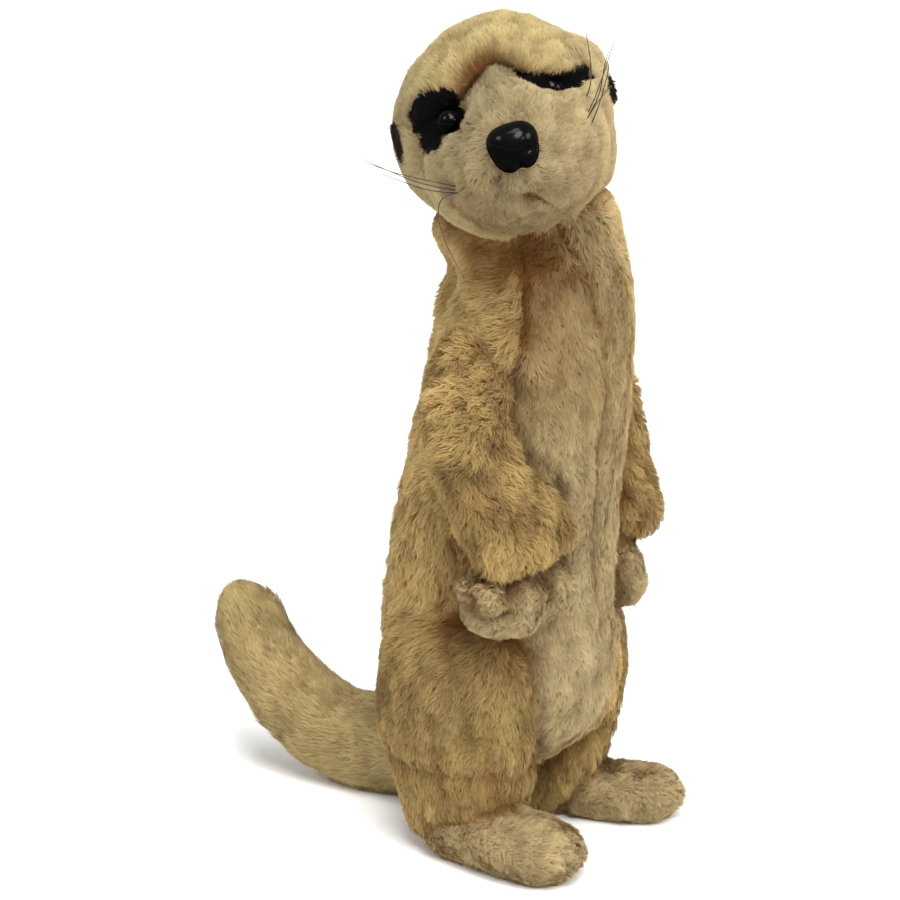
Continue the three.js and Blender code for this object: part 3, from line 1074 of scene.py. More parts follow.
# Lumps of stuffing: places in the toy's frame, a radius and how far each stands out.
bodyLumps = [
    ((-19, -35, 199), 6.5, 4.0),
    ((-53, -35, 129), 4.5, 2.5),
    ((-55.5, -36.5, 118), 4.5, 3.0),
    ((-55, -37, 123.5), 2.2, -3.5),
    ((-53.6, -40.2, 121), 2.6, -6.5),
    ((-53.2, -40, 114), 2.6, -6.0),
    ((-48, -43.5, 120.5), 5.5, 5.0),
    ((-49, -42.8, 112.3), 2.2, -4.0),
    ((-53, -36.5, 108), 4.0, 3.0),
    ((-46, -43.2, 107.5), 4.5, 4.0),
    ((-41.5, -45.8, 123), 2.5, -6.5),
    ((-41.5, -45.6, 114), 2.6, -6.0),
    ((-41.5, -44, 106), 2.2, -3.0),
    ((-31.5, -47, 117), 7.0, 5.0),
    ((-34, -46, 107.5), 6.5, 5.0),
    ((-21.3, -46.5, 124), 2.6, -7.5),
    ((-21.3, -46.2, 115), 2.9, -8.5),
    ((-14.5, -45.2, 121), 4.6, 6.5),
    ((-15, -44.5, 114.5), 3.8, 4.8),
    ((25, -21, 262), 13, 3.0),
]


def ankleRelief(points):
    # The folds above the ankle.
    return sum(groove(points[:, 2] - height - slope * points[:, 1], depth, width)
               for height, slope, depth, width in ankleFolds)


fingerGaps = (-0.4, 0.3)  # shares of the left paw's half depth
toeGaps = (-0.42, 0.04, 0.48)  # shares of a foot's half width


def fingerRelief(points):
    # Furrows down the outer side of the left paw, between its fingers.
    at = placeOn(leftPaw, points)[0]
    middle, _, _, depth, half = spine(leftPaw, at)
    through = np.einsum("ij,ij->i", points - middle, depth)
    furrows = sum(groove(through - place * half[:, 1], 3.0, 2.1) for place in fingerGaps)
    return furrows * smoothStep(0.3, 0.62, at)


def toeRelief(points, side):
    # Three short furrows at the front of a foot.
    form = stuffedParts[f"foot_{side}"]
    at = placeOn(form, points)[0]
    middle, _, width, _, half = spine(form, at)
    across = np.einsum("ij,ij->i", points - middle, width)
    furrows = sum(groove(across - place * half[:, 0], 3.2, 1.9) for place in toeGaps)
    return furrows * smoothStep(0.82, 0.95, at)


def layout(points):
    # The part that each point of the skin belongs to: the one whose surface it is nearest.
    out = [placeOn(form, points)[2] for form in stuffedParts.values()]
    head = toHead(points)
    skull = np.linalg.norm(head / np.array(skullForm["radii"]), axis=1) - 1
    out.append(skull * skullForm["radii"][0] - skullForm["browOut"] / 2)
    out.append(placeOn(muzzleForm, head)[2])
    return np.argmin(np.stack(out, 1), axis=1)


# How deep the fold is where a part meets its neighbour.
foldShare = {"body": 0, "arm": 0.9, "paw": 1, "leg": 1, "foot": 0.5, "tail": 0.5, "skull": 0.8, "muzzle": 0}


def foldsBetween(points, parts, edges):
    # 1 where two parts meet, falling to 0 a few millimetres to each side. The tops of the arms
    # run into the shoulders without a fold.
    nearArm = relaxed(inParts(parts, "arm") * 1.0, edges, 12) > 0.02
    one, other = parts[edges[:, 0]], parts[edges[:, 1]]
    share = np.maximum(perKind(foldShare, one), perKind(foldShare, other))
    strength = np.where(one != other, share, 0)
    strength[inParts(one, *headKinds) & inParts(other, *headKinds)] = 0
    strength[(one != other) & inParts(one, "leg", "foot") & inParts(other, "leg", "foot")] = 0.5
    value = np.zeros(len(parts))
    for end in (0, 1):
        np.maximum.at(value, edges[:, end], strength)
    value = np.clip(2.6 * relaxed(value, edges, 9), 0, 1) * smoothStep(200, 168, points[:, 2] * nearArm)
    # The top of the right leg runs into the trunk at its back.
    back = smoothStep(-14, -30, 0.77 * points[:, 0] - 0.64 * points[:, 1])
    return value * (1 - back * smoothStep(70, 85, points[:, 2]) * smoothStep(135, 120, points[:, 2]))


# The pile of each part. `hairs` grow on a square millimetre, `stand` is how far their tips
# stand off the skin, `wave` how far they swing to a side, `curl` how many swings they make,
# `spread` the radius of a tuft at its root, `gather` how far its tips draw together, `sweep`
# how much the lie swirls and `lock` how far the tips of neighbours draw together in a lock.
pileKeys = ("hairs", "length", "stand", "thick", "wave", "curl", "spread", "gather", "sweep", "lock")
pile = {
    "crown": (6.9, 4.8, 2.7, 0.31, 0.40, 0.9, 1.3, 0.60, 0.35, 1.3),
    "face": (8.2, 3.7, 1.9, 0.30, 0.40, 0.9, 1.3, 0.55, 0.70, 1.3),
    "neck": (5.0, 4.6, 2.4, 0.30, 0.50, 1.1, 1.4, 0.50, 0.60, 1.0),
    "back": (2.5, 6.6, 3.3, 0.37, 0.75, 1.3, 1.8, 0.65, 0.50, 1.5),
    "front": (6.2, 4.0, 1.9, 0.31, 0.50, 1.1, 1.3, 0.50, 0.60, 1.2),
    "arm": (3.5, 6.4, 3.4, 0.37, 1.05, 1.4, 1.8, 0.75, 0.60, 2.2),
    "paw": (7.4, 3.3, 1.8, 0.32, 0.80, 1.8, 1.3, 0.60, 1.20, 1.2),
    "leg": (2.9, 5.6, 2.4, 0.36, 0.65, 1.1, 1.7, 0.60, 0.30, 1.2),
    "foot": (7.4, 3.6, 2.3, 0.32, 0.90, 1.8, 1.3, 0.60, 1.15, 1.4),
    "tail": (3.6, 5.2, 2.7, 0.33, 0.40, 0.9, 1.5, 0.45, 0.35, 1.1),
}
pileNumber = {name: number for number, name in enumerate(pile)}


def inPiles(kinds, *names):
    # Whether one of the named piles grows at each place.
    return np.isin(kinds, [pileNumber[name] for name in names])


def pileOf(points, parts):
    # The number of the pile that grows at each place.
    kinds = np.empty(len(points), int)
    for name, part in partNumber.items():
        kinds[parts == part] = pileNumber.get(name.split("_")[0], pileNumber["back"])
    onHead, onBody = inParts(parts, *headKinds), inParts(parts, "body")
    marks = markings(points, parts, 0)
    face = (marks["pale"] > 0.5) | (marks["black"] > 0.5)
    near = np.linalg.norm(toHead(points), axis=1) < 75
    neck = points[:, 2] > 236
    kinds[onHead] = pileNumber["crown"]
    kinds[onHead & face & near] = pileNumber["face"]
    kinds[onBody & neck] = pileNumber["neck"]
    kinds[onBody & ~neck & (marks["pale"] > 0.45)] = pileNumber["front"]
    return kinds


def lieOf(points, parts, kinds):
    # The way the pile lies at each place, before it is laid along the skin.
    height = points[:, 2]
    lie = np.zeros((len(points), 3))
    lie[:, 2] = -1
    for name, form in stuffedParts.items():
        if name != "body":
            here = parts == partNumber[name]
            lie[here] = placeOn(form, points[here])[3]
    lie[:, 2] -= 1.5 * smoothStep(180, 205, height) * (lie[:, 2] > -0.95)
    # From the shoulders down, it sweeps back as well as down, and less so lower.
    high = smoothStep(120, 215, height) * inPiles(kinds, "neck", "back", "arm")
    lie[:, 1] += 1.7 * high
    lie[:, 2] -= 0.2 * high
    # The tops of the arms lie out and back, like the shoulders.
    for side, way in (("right", -1), ("left", 1)):
        arm = ((parts == partNumber[f"arm_{side}"]) * smoothStep(165, 205, height))[:, None]
        lie += arm * (np.array((0.77 * way, 0.64, -0.3)) - lie)
    lie[:, 1] += 1.2 * (bump(height - 96, 16) * inPiles(kinds, "back", "leg"))
    # On the head it runs away from the nose, up out of the crease over the brow, back over the
    # crown and down behind.
    onHead = inParts(parts, *headKinds)
    head = toHead(points[onHead])
    away = unit(head - np.array((0, -64, noseAxis)))
    above = head[:, 2] - browHeight(head[:, 0])
    roll = smoothStep(-2, 1, above) * smoothStep(15, 5, above) * (head[:, 1] < -12)
    away[:, 1] -= 1.1 * roll
    away[:, 2] += 0.7 * roll - 1.4 * smoothStep(-5, 30, head[:, 1])
    lie[onHead] = away @ headAxes.T
    return lie


def pileFields(points, head, parts, kinds, edges):
    # The settings of the pile at each place, blended where two kinds meet. It is shorter round
    # the mouth, under the chin and above the ankles, and straight and even along the far seam.
    fields = relaxed(np.array(list(pile.values()))[kinds], edges, 14)
    nearMouth = bump(head[:, 2] - mouthHeight(head[:, 0]) - 1, 4.5) * bump(head[:, 0] - 2, 9)
    nearMouth *= head[:, 1] < -35
    underChin = smoothStep(-24, -36, head[:, 2]) * inParts(parts, *headKinds)
    aboveAnkle = bump(points[:, 2] - 56, 10) * inParts(parts, "leg")
    nearSeam = bump(farSeamOffset(points, bodyAngle(points)), 3.5) * smoothStep(75, 110, points[:, 2])
    nearSeam *= inParts(parts, "body")
    shorter = (1 - 0.55 * nearMouth) * (1 - 0.25 * underChin) * (1 - 0.25 * aboveAnkle)
    for key in ("length", "stand"):
        fields[:, pileKeys.index(key)] *= shorter
    for key in ("sweep", "wave", "lock"):
        fields[:, pileKeys.index(key)] *= 1 - 0.8 * nearSeam
    return fields


def reliefAt(points, head, parts, fold, edges):
    # How far the skin stands out: the face, the seams and furrows, the lumps of stuffing, and a
    # soft unevenness that is weaker on the head and dies out at the floor.
    onHead = inParts(parts, *headKinds)
    relief = faceRelief(head) * onHead + gathered(points, bodyLumps) - skinSettings["foldDepth"] * fold
    relief += bodyRelief(points) * inParts(parts, "body")
    relief += fingerRelief(points) * (parts == partNumber["paw_left"])
    for side in ("right", "left"):
        relief += toeRelief(points, side) * (parts == partNumber[f"foot_{side}"])
    relief += ankleRelief(points) * inParts(parts, "leg")
    relief = relaxed(relief, edges, 2)
    size = skinSettings["lumpSize"]
    lumps = softNoise(points, size, 7) + 0.5 * softNoise(points, size / 2, 8)
    lumps *= skinSettings["lump"] * np.where(onHead, 0.3, 1)
    curls = skinSettings["curl"] * softNoise(points, skinSettings["curlSize"], 9)
    lumps += curls * np.where(onHead, 0.7, 1)
    return relief + lumps * smoothStep(3, 12, points[:, 2])


def makeSkin():
    # Fuses the parts, works out what grows where, sinks the cloth by the pile's own depth and
    # presses in the folds. Gives the arrays that the pile is planted by.
    points, edges, triangles = fused(*wholeSurface())
    for share in skinSettings["smoothing"]:
        points = relaxed(points, edges, 1, share)
    normals = vertexNormals(points, triangles)
    parts = layout(points)
    kinds = pileOf(points, parts)
    head = toHead(points)
    fields = pileFields(points, head, parts, kinds, edges)
    sole = (points[:, 2] < 1.5) & (normals[:, 2] < -0.5)
    depth = relaxed(np.where(sole, 0.4, fields[:, pileKeys.index("stand")]), edges, 2)
    fold = foldsBetween(points, parts, edges)
    out = reliefAt(points, head, parts, fold, edges) - depth
    points = points + unit(relaxed(normals, edges, 6)) * out[:, None]
    points -= headAxes[:, 2] * (browHang(head) * inParts(parts, *headKinds))[:, None]
    points[:, 2] = np.maximum(points[:, 2], 0.15)
    points = relaxed(points, edges, 1, 0.3)
    return {
        "points": points,
        "triangles": triangles,
        "normals": vertexNormals(points, triangles),
        "parts": parts,
        "kinds": kinds,
        "fields": fields,
        "lie": relaxed(unit(lieOf(points, parts, kinds)), edges, 26),
        "fold": fold,
        "marks": markings,
    }


skin = makeSkin()
print(f"skin of {len(skin['points'])} vertices and {len(skin['triangles'])} triangles")
skinPiece = meshPiece("plush_skin", skin["points"], skin["triangles"], clothMaterial)
for mark, values in markings(skin["points"], skin["parts"], skin["fold"]).items():
    store(skinPiece.data, mark, values)
store(skinPiece.data, "rise", np.full(len(skin["points"]), 0.45))
store(skinPiece.data, "tone", softNoise(skin["points"], 6, 11))
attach(skinPiece, "root")
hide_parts(*skinNodes)


# A hair is a narrow ribbon: one point at its root, pairs of points at shares of its length,
# and one point at its tip.
ribbonSteps = {"long": (0.0, 0.36, 0.72, 1.0), "short": (0.0, 0.5, 1.0)}
tuftHairs = 7  # in one tuft
patchWidth = 0.003  # of a hair's place on the baking map
# Shares of a setting that a hair's own is drawn from.
hairRange = {"length": (0.8, 1.15), "stand": (0.75, 1.12), "wave": (0.7, 1.3), "thick": (0.75, 1.25)}
# How far hairs or tufts stray from one another: angles in radians, and tones.
stray = {"swirl": 0.35, "phase": 0.35, "lean": 0.1, "twist": 0.22, "normal": 0.12, "tuft": 0.35, "hair": 0.45}
# No pile grows on an ellipse about the nose's axis, this far forward, or along the far seam.
bareNose = {"half": (9.0, 8.0), "share": 0.9, "front": -48}
bareSeam = {"half": 1.3, "from": 95, "to": 232}


def unwrapped(name, points):
    # A place from 0 to 1 both ways for each point: round a part's spine and along it, or for
    # the head by the direction and the angle away from its nose axis.
    if name == "head":
        away = unit(toHead(points))
        angle = np.arccos(np.clip(-away[:, 1], -1, 1)) / np.pi
        turn = np.arctan2(away[:, 2], away[:, 0])
        return np.stack([0.5 + 0.48 * angle * np.cos(turn), 0.5 + 0.48 * angle * np.sin(turn)], 1)
    at, angle, _, _ = placeOn(stuffedParts[name], points, 161)
    return np.stack([0.01 + 0.98 * (angle + np.pi) / (2 * np.pi), 0.01 + 0.98 * at], 1)


def bare(points):
    # Where no pile grows: under the feet, at the eyes and the nose, and along the far seam.
    head = toHead(points)
    none = points[:, 2] < 0.8
    for middle in eyes.values():
        none |= np.linalg.norm(head - middle, axis=1) < eyeRadius - 0.2
    across, up = head[:, 0] / bareNose["half"][0], (head[:, 2] - noseAxis) / bareNose["half"][1]
    none |= (np.hypot(across, up) < bareNose["share"]) & (head[:, 1] < bareNose["front"])
    onSeam = np.abs(farSeamOffset(points, bodyAngle(points))) < bareSeam["half"]
    return none | (onSeam & (points[:, 2] > bareSeam["from"]) & (points[:, 2] < bareSeam["to"]))


def lockHeight(points):
    # From -1 between the locks to 1 along them. They are drawn out up and down the body.
    drawn = points * np.array((1, 1, 0.5))
    return softNoise(drawn, 4.2, 27) + 0.5 * softNoise(drawn, 7.5, 28)


def sown(surface, triangles):
    # Roots of tufts, at random on the triangles, more on larger ones and where more hairs grow.
    # Gives too the corners of each one's triangle and its share of each.
    corners = surface["points"][triangles]
    area = np.linalg.norm(np.cross(corners[:, 1] - corners[:, 0], corners[:, 2] - corners[:, 0]), axis=1) / 2
    density = surface["fields"][triangles][:, :, pileKeys.index("hairs")].mean(1)
    wanted = area * density / tuftHairs
    tufts = int(wanted.sum())
    even = (np.arange(tufts) + random.uniform(0, 1, tufts)) / tufts
    chosen = np.searchsorted(np.cumsum(wanted), even * wanted.sum())
    pick = triangles[np.minimum(chosen, len(triangles) - 1)]
    share = random.dirichlet((1, 1, 1), tufts)
    root = np.einsum("ij,ijk->ik", share, surface["points"][pick])
    keep = ~bare(root)
    return root[keep], share[keep], pick[keep]


def tuftsOn(surface, triangles):
    # What the hairs of each tuft share: its root, the skin's normal there, the way the pile lies
    # and the way to its side, its settings, its marks, and the height and slope of the locks.
    root, share, pick = sown(surface, triangles)

    def carried(values):
        return np.einsum("ij,ij...->i...", share, values[pick])

    normal = unit(carried(surface["normals"]))
    lie = carried(surface["lie"])
    field = dict(zip(pileKeys, carried(surface["fields"]).T))
    # Coherent swirls turn the lie, over a few millimetres and over a few centimetres.
    turn = softNoise(root, 9, 21) + 0.8 * softNoise(root, 22, 22) + 0.7 * softNoise(root, 4.5, 29)
    turn += stray["swirl"] * random.normal(size=len(root))
    turn *= field["sweep"]
    lie = unit(lie - normal * np.einsum("ij,ij->i", lie, normal)[:, None])
    side = np.cross(lie, normal)
    lie, side = (
        lie * np.cos(turn)[:, None] + side * np.sin(turn)[:, None],
        side * np.cos(turn)[:, None] - lie * np.sin(turn)[:, None],
    )
    middle = root + lie * (0.5 * field["length"])[:, None]  # where a hair's colour is seen
    marks = surface["marks"](middle, surface["parts"][pick[:, 0]], carried(surface["fold"]))
    # Locks: the pile is highest along soft ridges and deeper between them, where painted shade darkens it.
    ridge = lockHeight(root)
    between = smoothStep(0.1, -0.9, ridge) * field["lock"] * (1 - 0.55 * marks["pale"])
    marks["shade"] = np.clip(marks["shade"] + 0.18 * between, 0, shadeOf["most"])
    swell = 1 + 0.25 * ridge + 0.1 * softNoise(root, 13, 24)
    low = 0.45 + 0.55 * smoothStep(0, 9, root[:, 2])
    return {
        "root": root,
        "normal": normal,
        "lie": lie,
        "side": side,
        "field": field,
        "marks": marks,
        "ridge": ridge,
        "slope": lockHeight(root + side) - lockHeight(root - side),
        "swell": swell * low * (1 - 0.35 * marks["black"]),
    }


def hairLines(tuft, s):
    # The middle lines of the hairs, at shares s of their length. Their roots lie in a disc and
    # their tips draw together, and lean towards the nearest lock. A hair runs forward along the
    # lie and rises from the cloth on a curve that flattens at its tip:
    # height = stand (1 - (1 - s)^1.6), forward = reach s^1.3, sideways = wave sin(turns s) s.
    # Gives too how far each hair's root is from its tuft's.
    field, lie, side, normal = tuft["field"], tuft["lie"], tuft["side"], tuft["normal"]
    hairs = (len(lie), tuftHairs)
    out = field["spread"][:, None] * np.sqrt(random.uniform(0, 1, hairs))
    way = random.uniform(0, 2 * np.pi, hairs)
    offset = lie[:, None] * (out * np.cos(way))[..., None] + side[:, None] * (out * np.sin(way))[..., None]
    swell = tuft["swell"][:, None]
    length = field["length"][:, None] * swell * random.uniform(*hairRange["length"], hairs)
    stand = field["stand"][:, None] * swell * random.uniform(*hairRange["stand"], hairs)
    reach = np.sqrt(np.maximum(length**2 - stand**2, 0.5))
    phase = random.uniform(0, 2 * np.pi, len(lie))[:, None] + random.normal(0, stray["phase"], hairs)
    swing = (field["wave"][:, None] * random.uniform(*hairRange["wave"], hairs))[..., None]
    lean = random.normal(0, stray["lean"], hairs)[..., None]
    turns = 2 * np.pi * field["curl"][:, None, None] * s + phase[..., None]
    toLock = (field["lock"] * tuft["slope"])[:, None, None] * s**1.3
    forward = reach[..., None] * s**1.3
    sideways = swing * np.sin(turns) * s + lean * forward + toLock
    height = stand[..., None] * (1 - (1 - s) ** 1.6) - 0.5 + 0.35 * swing * np.cos(turns) * s
    drawn = 1 - field["gather"][:, None, None] * s**1.4
    line = tuft["root"][:, None, None] + offset[:, :, None] * drawn[..., None]
    line = line + lie[:, None, None] * forward[..., None] + side[:, None, None] * sideways[..., None]
    return line + normal[:, None, None] * height[..., None], offset


def ribbons(tuft, line):
    # The points of each hair's ribbon, with a pair across each inner point of its line, and the
    # way across it. A ribbon is twisted a little off the skin's plane.
    hairs = line.shape[:2]
    twist = random.normal(0, stray["twist"], hairs)[..., None]
    across = tuft["side"][:, None] * np.cos(twist) + tuft["normal"][:, None] * np.sin(twist)
    half = tuft["field"]["thick"][:, None, None] * random.uniform(*hairRange["thick"], hairs)[..., None] / 2
    left = line[:, :, 1:-1] - across[:, :, None] * half[..., None]
    right = line[:, :, 1:-1] + across[:, :, None] * half[..., None]
    pairs = np.stack([left, right], 3).reshape(*hairs, -1, 3)
    return np.concatenate([line[:, :, :1], pairs, line[:, :, -1:]], 2), across


def plant(name, form, surface, triangles, steps):
    # Grows one piece of the pile on some of a surface's triangles, and gives its face count.
    s = np.array(ribbonSteps[steps])
    tuft = tuftsOn(surface, triangles)
    root, field, side = tuft["root"], tuft["field"], tuft["side"]
    line, offset = hairLines(tuft, s)
    points, across = ribbons(tuft, line)
    count, _, each, _ = points.shape
    hairs = count * tuftHairs
    points = points.reshape(-1, 3)
    points[:, 2] = np.maximum(points[:, 2], 0.2)

    # Faces: triangles from the root point through the pairs to the tip, facing out.
    strip = [(0, 2, 1), (each - 3, each - 2, each - 1)]
    for pair in range(1, each - 3, 2):
        strip += [(pair, pair + 1, pair + 3), (pair, pair + 3, pair + 2)]
    faces = (np.arange(hairs)[:, None, None] * each + np.array(strip)).reshape(-1, 3)
    piece = meshPiece(name, points, faces, pileMaterial)
    mesh = piece.data

    # Normals: mostly the skin's own, rounded across each tuft and lock, so that each shades
    # as one soft form.
    rounding = (offset / field["spread"][:, None, None]) * 0.3
    rounding = rounding - (side * (0.5 * field["lock"] * tuft["slope"])[:, None])[:, None]
    uneven = across * random.normal(0, stray["normal"], (count, tuftHairs, 1))
    soft = tuft["normal"][:, None] + rounding + uneven - 0.1 * tuft["lie"][:, None]
    soft = np.repeat(unit(soft).reshape(-1, 3), each, axis=0).astype(np.float32)
    mesh.attributes.new("custom_normal", "FLOAT_VECTOR", "POINT").data.foreach_set("vector", soft.ravel())

    # Each hair's tone, and the places of its points on the baking map.
    rise = np.concatenate([s[:1], np.repeat(s[1:-1], 2), s[-1:]])
    store(mesh, "rise", np.tile(rise, hairs))
    # The tone is lighter along the ridges of the locks, painted light on their crests, and differs at random
    # from tuft to tuft and hair to hair.
    tone = 0.5 * softNoise(root, 7, 31) + 0.7 * field["lock"] * tuft["ridge"]
    tone = tone + stray["tuft"] * random.normal(size=count)
    tone = tone[:, None] + stray["hair"] * random.normal(size=(count, tuftHairs))
    store(mesh, "tone", np.repeat(np.clip(tone, -2, 2).ravel(), each))
    for mark, values in tuft["marks"].items():
        store(mesh, mark, np.repeat(values, tuftHairs * each))
    wide = np.concatenate([[0.0], np.tile([-0.5, 0.5], len(s) - 2), [0.0]]) * patchWidth
    along = (rise - 0.5) * patchWidth
    place = np.repeat(unwrapped(form, root), tuftHairs, axis=0)
    place = place[:, None] + np.stack([wide, along], 1)[None]
    uv = mesh.uv_layers.new(name="OFBake")
    uv.uv.foreach_set("vector", place.reshape(-1, 2)[faces.ravel()].astype(np.float32).ravel())
    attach(piece, "root")
    return len(faces)


def growPile():
    # One piece of pile for each part of the skin, split where the kind of pile changes.
    first = skin["triangles"][:, 0]
    parts, kinds, height = skin["parts"][first], skin["kinds"][first], skin["points"][first, 2]
    onFront = toHead(skin["points"])[first, 1] < -8
    onHead, onBody = inParts(parts, *headKinds), inParts(parts, "body")
    face = onHead & inPiles(kinds, "face")
    onBack = onBody & inPiles(kinds, "back")
    pieces = [
        ("pile_face", "head", face, "short", "cream_plush"),
        ("pile_forehead", "head", onHead & ~face & onFront, "short", "gold_plush"),
        ("pile_head_back", "head", onHead & ~face & ~onFront, "short", "gold_plush"),
        ("pile_neck", "body", onBody & inPiles(kinds, "neck"), "long", "gold_plush"),
        ("pile_chest_and_belly", "body", onBody & inPiles(kinds, "front"), "short", "cream_plush"),
        ("pile_shoulders", "body", onBack & (height > 175), "long", "gold_plush"),
        ("pile_back", "body", onBack & (height > 100) & (height <= 175), "long", "gold_plush"),
        ("pile_hips", "body", onBack & (height <= 100), "long", "gold_plush"),
        ("pile_tail", "tail", inParts(parts, "tail"), "short", "gold_plush"),
    ]
    limbs = (("arm", "long", "gold_plush"), ("leg", "long", "gold_plush"),
             ("paw", "short", "cream_plush"), ("foot", "short", "cream_plush"))
    for side, (limb, steps, slot) in itertools.product(("right", "left"), limbs):
        form = f"{limb}_{side}"
        pieces.append((f"pile_{form}", form, parts == partNumber[form], steps, slot))
    total = 0
    for name, form, where, steps, slot in pieces:
        faces = plant(name, form, skin, skin["triangles"][where], steps)
        total += faces
        print(f"  {name}: {faces} triangles")
    print(f"pile of {total} triangles")


growPile()


noseForm = {
    "wide": 9.4,
    "deep": 8,
    "high": 8.7,
    "front": 60,
    "taper": 0.13,  # of its width, lost towards the bottom
    "square": 2.8,  # 2 would be an ellipse
    "nostrils": (4.7, -2.4),
    "nostrilDepth": 0.16,
    "furrowDepth": 0.07,
    "notch": 1.0,
    "grid": (90, 120),
}


def noseSurface():
    # A dome that narrows downward, with two nostrils and a furrow up its middle from a notch.
    vertices, faces = ballSurface(*noseForm["grid"])
    x, y, z = vertices.T
    squared = (np.abs(x) ** noseForm["square"] + np.abs(z) ** noseForm["square"]) ** (1 / noseForm["square"])
    fuller = np.hypot(x, z) / np.maximum(squared, 1e-6)
    x, z = x * fuller, z * fuller
    narrow = 1 - noseForm["taper"] * np.clip(0.3 - z, 0, 1)
    wide, high = noseForm["wide"] * x * narrow, noseForm["high"] * z
    openX, openZ = noseForm["nostrils"]
    nostril = 0
    for way in (-1, 1):
        up = high - openZ - 0.25 * (way * wide - openX)
        nostril = nostril + bump(np.hypot((wide - way * openX) / 1.5, up), 1.7)
    furrow = bump(wide, 0.8) * smoothStep(-1.0, -5.5, high)
    notch = noseForm["notch"] * bump(wide, 1.8) * smoothStep(-0.5, -0.95, z)
    hollow = noseForm["nostrilDepth"] * nostril + noseForm["furrowDepth"] * furrow
    out = 1 - smoothStep(0.1, 0.5, -y) * hollow
    points = np.stack([wide, noseForm["deep"] * y * out, high + notch], 1)
    return points + np.array([0, -noseForm["front"], noseAxis]), faces


def dress(piece, slot, *nodes):
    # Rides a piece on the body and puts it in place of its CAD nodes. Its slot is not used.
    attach(piece, "root")
    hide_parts(*nodes)


def glossForTopHighlights(piece, points, faces):
    # The gloss is fullest on what faces up and thin lower down, so that the lamps' highlights sit on
    # top: a painted highlight in the coat's weight.
    store(piece.data, "gloss", smoothStep(-0.15, 0.45, vertexNormals(points, faces)[:, 2]))
    return piece


nosePoints, noseFaces = noseSurface()
nosePoints = fromHead(nosePoints)
nosePiece = glossForTopHighlights(meshPiece("moulded_nose", nosePoints, noseFaces, noseMaterial), nosePoints, noseFaces)
dress(nosePiece, "moulded_black", "nose")
for side, middle in eyes.items():
    points, faces = ballSurface(*eyeGrid)
    points = fromHead(points * eyeRadius + middle)
    eye = glossForTopHighlights(meshPiece(f"glass_eye_{side}", points, faces, eyeMaterial), points, faces)
    dress(eye, "moulded_black", f"eye_{side}")

ears = {
    "right": {"radii": (4.2, 9.3, 9.9), "middle": (-39.2, -8.5, 4.2)},
    "left": {"radii": (3.2, 7, 5.8), "middle": (39.8, -8, 0.4)},
}
earDepth = 1.4  # from the cloth of an ear to the tips of its pile
earHollow = {"depth": 0.8, "radius": 0.6}  # on its outer side; the radius is a share of the ear's
earGrid = (30, 40)
earPile = (9.0, 3.2, 1.6, 0.26, 0.25, 0.8, 0.9, 0.4, 0.5, 0.4)  # in the order of pileKeys


def brownMarks(points, parts, fold):
    # The marks of plush that is brown all over.
    none = np.zeros(len(points))
    return {"pale": none, "black": none, "brown": none + 1, "shade": none, "bright": none, "light": none}


def makeEar(side, form):
    # A small flat flap of dark plush, hollow on its outer side. Its pile runs back and down.
    vertices, faces = ballSurface(*earGrid)
    points = vertices * (np.array(form["radii"]) - earDepth)
    outward = np.sign(form["middle"][0])
    hollow = bump(np.hypot(vertices[:, 1], vertices[:, 2]), earHollow["radius"])
    points[:, 0] -= outward * earHollow["depth"] * hollow * (vertices[:, 0] * outward > 0)
    points = fromHead(points + np.array(form["middle"]))
    flap = meshPiece(f"ear_flap_{side}", points, faces, clothMaterial)
    marks = {"rise": np.full(len(points), 0.3), "tone": np.zeros(len(points))}
    for mark, values in {**brownMarks(points, None, None), **marks}.items():
        store(flap.data, mark, values)
    dress(flap, "dark_plush", f"ear_{side}")
    surface = {
        "points": points,
        "normals": vertexNormals(points, faces),
        "parts": np.zeros(len(points), int),
        "fields": np.tile(earPile, (len(points), 1)),
        "lie": np.tile(headAxes @ np.array((0.0, 0.8, -0.6)), (len(points), 1)),
        "fold": np.zeros(len(points)),
        "marks": brownMarks,
    }
    plant(f"pile_ear_{side}", "head", surface, faces, "short")


for side, form in ears.items():
    makeEar(side, form)

# Whiskers, in the head's frame: the points that each runs through, from its root out.
whiskers = [
    [(-22, -43, -19), (-35.3, -46, -11.6), (-45.8, -41, -3.3), (-53.3, -34, 3.2)],
    [(-22, -43, -17.5), (-31.7, -46.5, -12), (-42.7, -42, -5.5), (-52.1, -35, 1.3)],
    [(-22, -42, -19.8), (-32.8, -45, -15.1), (-40.5, -43, -9.9), (-48, -38, -4.1)],
    [(-22, -43, -18.5), (-30.1, -46, -19.2), (-33.4, -46, -25.5), (-33.5, -44.5, -35.6), (-31.4, -42, -48.8)],
    [(28, -33, -3), (32.9, -36.5, 3.5), (35.3, -38, 10.9), (36.9, -40, 21.9)],
    [(26, -38, -9), (32.6, -41.5, -1.8), (38.3, -43, 5.6), (45, -43, 14.9)],
    [(26.5, -38, -13), (33, -42, -5), (38.7, -43, 3.6), (41.7, -43, 9.3)],
    [(25, -41, -10.5), (31.6, -44, -4.6), (35.9, -45, -1.5), (40, -44, 0.8)],
    [(26, -39, -9.5), (34.2, -43, -1.3), (39.3, -44, 7.8), (42.4, -44.5, 12.7)],
]
whiskerForm = {"thick": 0.48, "tip": 0.26, "rings": 22, "around": 6}


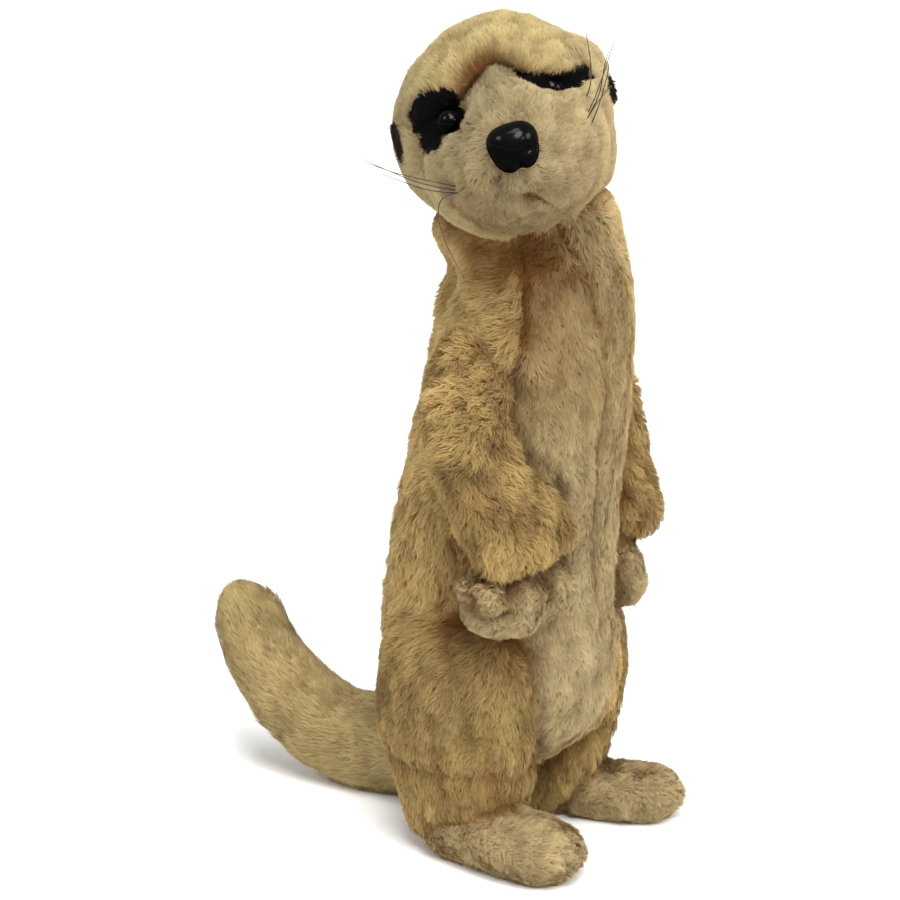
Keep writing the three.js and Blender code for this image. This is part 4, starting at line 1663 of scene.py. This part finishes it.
def makeWhiskers():
    # Thin round tubes carried along smooth lines, each finer towards its tip.
    points, faces, start = [], [], 0
    at = np.linspace(0, 1, whiskerForm["rings"])
    radius = (whiskerForm["thick"] + (whiskerForm["tip"] - whiskerForm["thick"]) * at[:, None]) / 2
    for line in whiskers:
        middle, slope = smoothLine(line, at)
        forward = unit(slope)
        width = unit(np.cross(forward, np.array([0.3, 1.0, 0.2])))
        ring = ringsAlong(middle, width, np.cross(forward, width), radius, roundAngles(whiskerForm["around"]))
        tube, walls = closedGrid(ring, middle[[0, -1]])
        points.append(tube)
        faces.append(walls + start)
        start += len(tube)
    piece = meshPiece("whiskers", fromHead(np.vstack(points)), np.vstack(faces), bristleMaterial)
    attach(piece, "root")


makeWhiskers()
print("face parts made")


studio = {
    "floor": linear(250, 250, 248),
    "floorRadius": 9.0,
    "floorPoints": 9,
    "ambient": 0.45,
    "azimuth": -40,
    "elevation": 14,
    "distance": 1.0,
    "middleHeight": 165.0,
    "aim": (-0.0285, -0.0305, 0.1609),  # in metres
    "lens": 103.2,
    "sensor": 36,
}
# Soft lights from far away: azimuth, height angle, how wide each looks and its strength.
lights = {
    "key": (-26, 56, 30, 2.95),
    "top": (-70, 78, 22, 0.8),
    "fill": (-108, 38, 18, 0.7),
    "side": (34, 28, 24, 1.15),
    "sparkle": (2, 30, 3, 0.28),
}


def makeFloor():
    # A wide flat sheet, evenly divided.
    count = studio["floorPoints"]
    line = np.linspace(-1, 1, count) * studio["floorRadius"]
    across, along = np.meshgrid(line, line, indexing="ij")
    points = np.stack([across, along, 0 * across], -1).reshape(-1, 3)
    index = np.arange(len(points)).reshape(count, count)
    corners = [index[:-1, :-1], index[1:, :-1], index[1:, 1:], index[:-1, 1:]]
    faces = np.stack(corners, -1).reshape(-1, 4)
    paper = plainMaterial("studio paper", studio["floor"], 0.8)
    meshPiece("studio_floor", points / millimetre - toyPlace, faces, paper)


def makeLights():
    # An even white surround, and the lights as suns.
    world = bpy.data.worlds.new("studio")
    world.use_nodes = True
    background = world.node_tree.nodes["Background"]
    background.inputs["Color"].default_value = (1.0, 1.0, 1.0, 1.0)
    background.inputs["Strength"].default_value = studio["ambient"]
    bpy.context.scene.world = world
    for name, (azimuth, elevation, width, strength) in lights.items():
        light = bpy.data.lights.new(name, "SUN")
        light.angle = math.radians(width)
        light.energy = strength
        lamp = bpy.data.objects.new(name, light)
        lamp.rotation_euler = (math.radians(90 - elevation), 0, math.radians(azimuth))
        bpy.context.scene.collection.objects.link(lamp)


def makeCamera():
    # Stands at the given azimuth and elevation round the toy's middle, and looks a little beside it.
    turn, rise = math.radians(studio["azimuth"]), math.radians(studio["elevation"])
    middle = Vector(inMetres(np.array([0, 0, studio["middleHeight"]])))
    back = Vector((math.sin(turn) * math.cos(rise), -math.cos(turn) * math.cos(rise), math.sin(rise)))
    place = middle + back * studio["distance"]
    camera = bpy.data.cameras.new("camera")
    camera.lens = studio["lens"]
    camera.sensor_width = studio["sensor"]
    eye = bpy.data.objects.new("camera", camera)
    eye.location = place
    eye.rotation_euler = (Vector(studio["aim"]) - place).to_track_quat("-Z", "Y").to_euler()
    bpy.context.scene.collection.objects.link(eye)
    bpy.context.scene.camera = eye


makeFloor()
makeLights()
makeCamera()
bpy.context.scene.view_settings.view_transform = "Standard"
print("scene done")
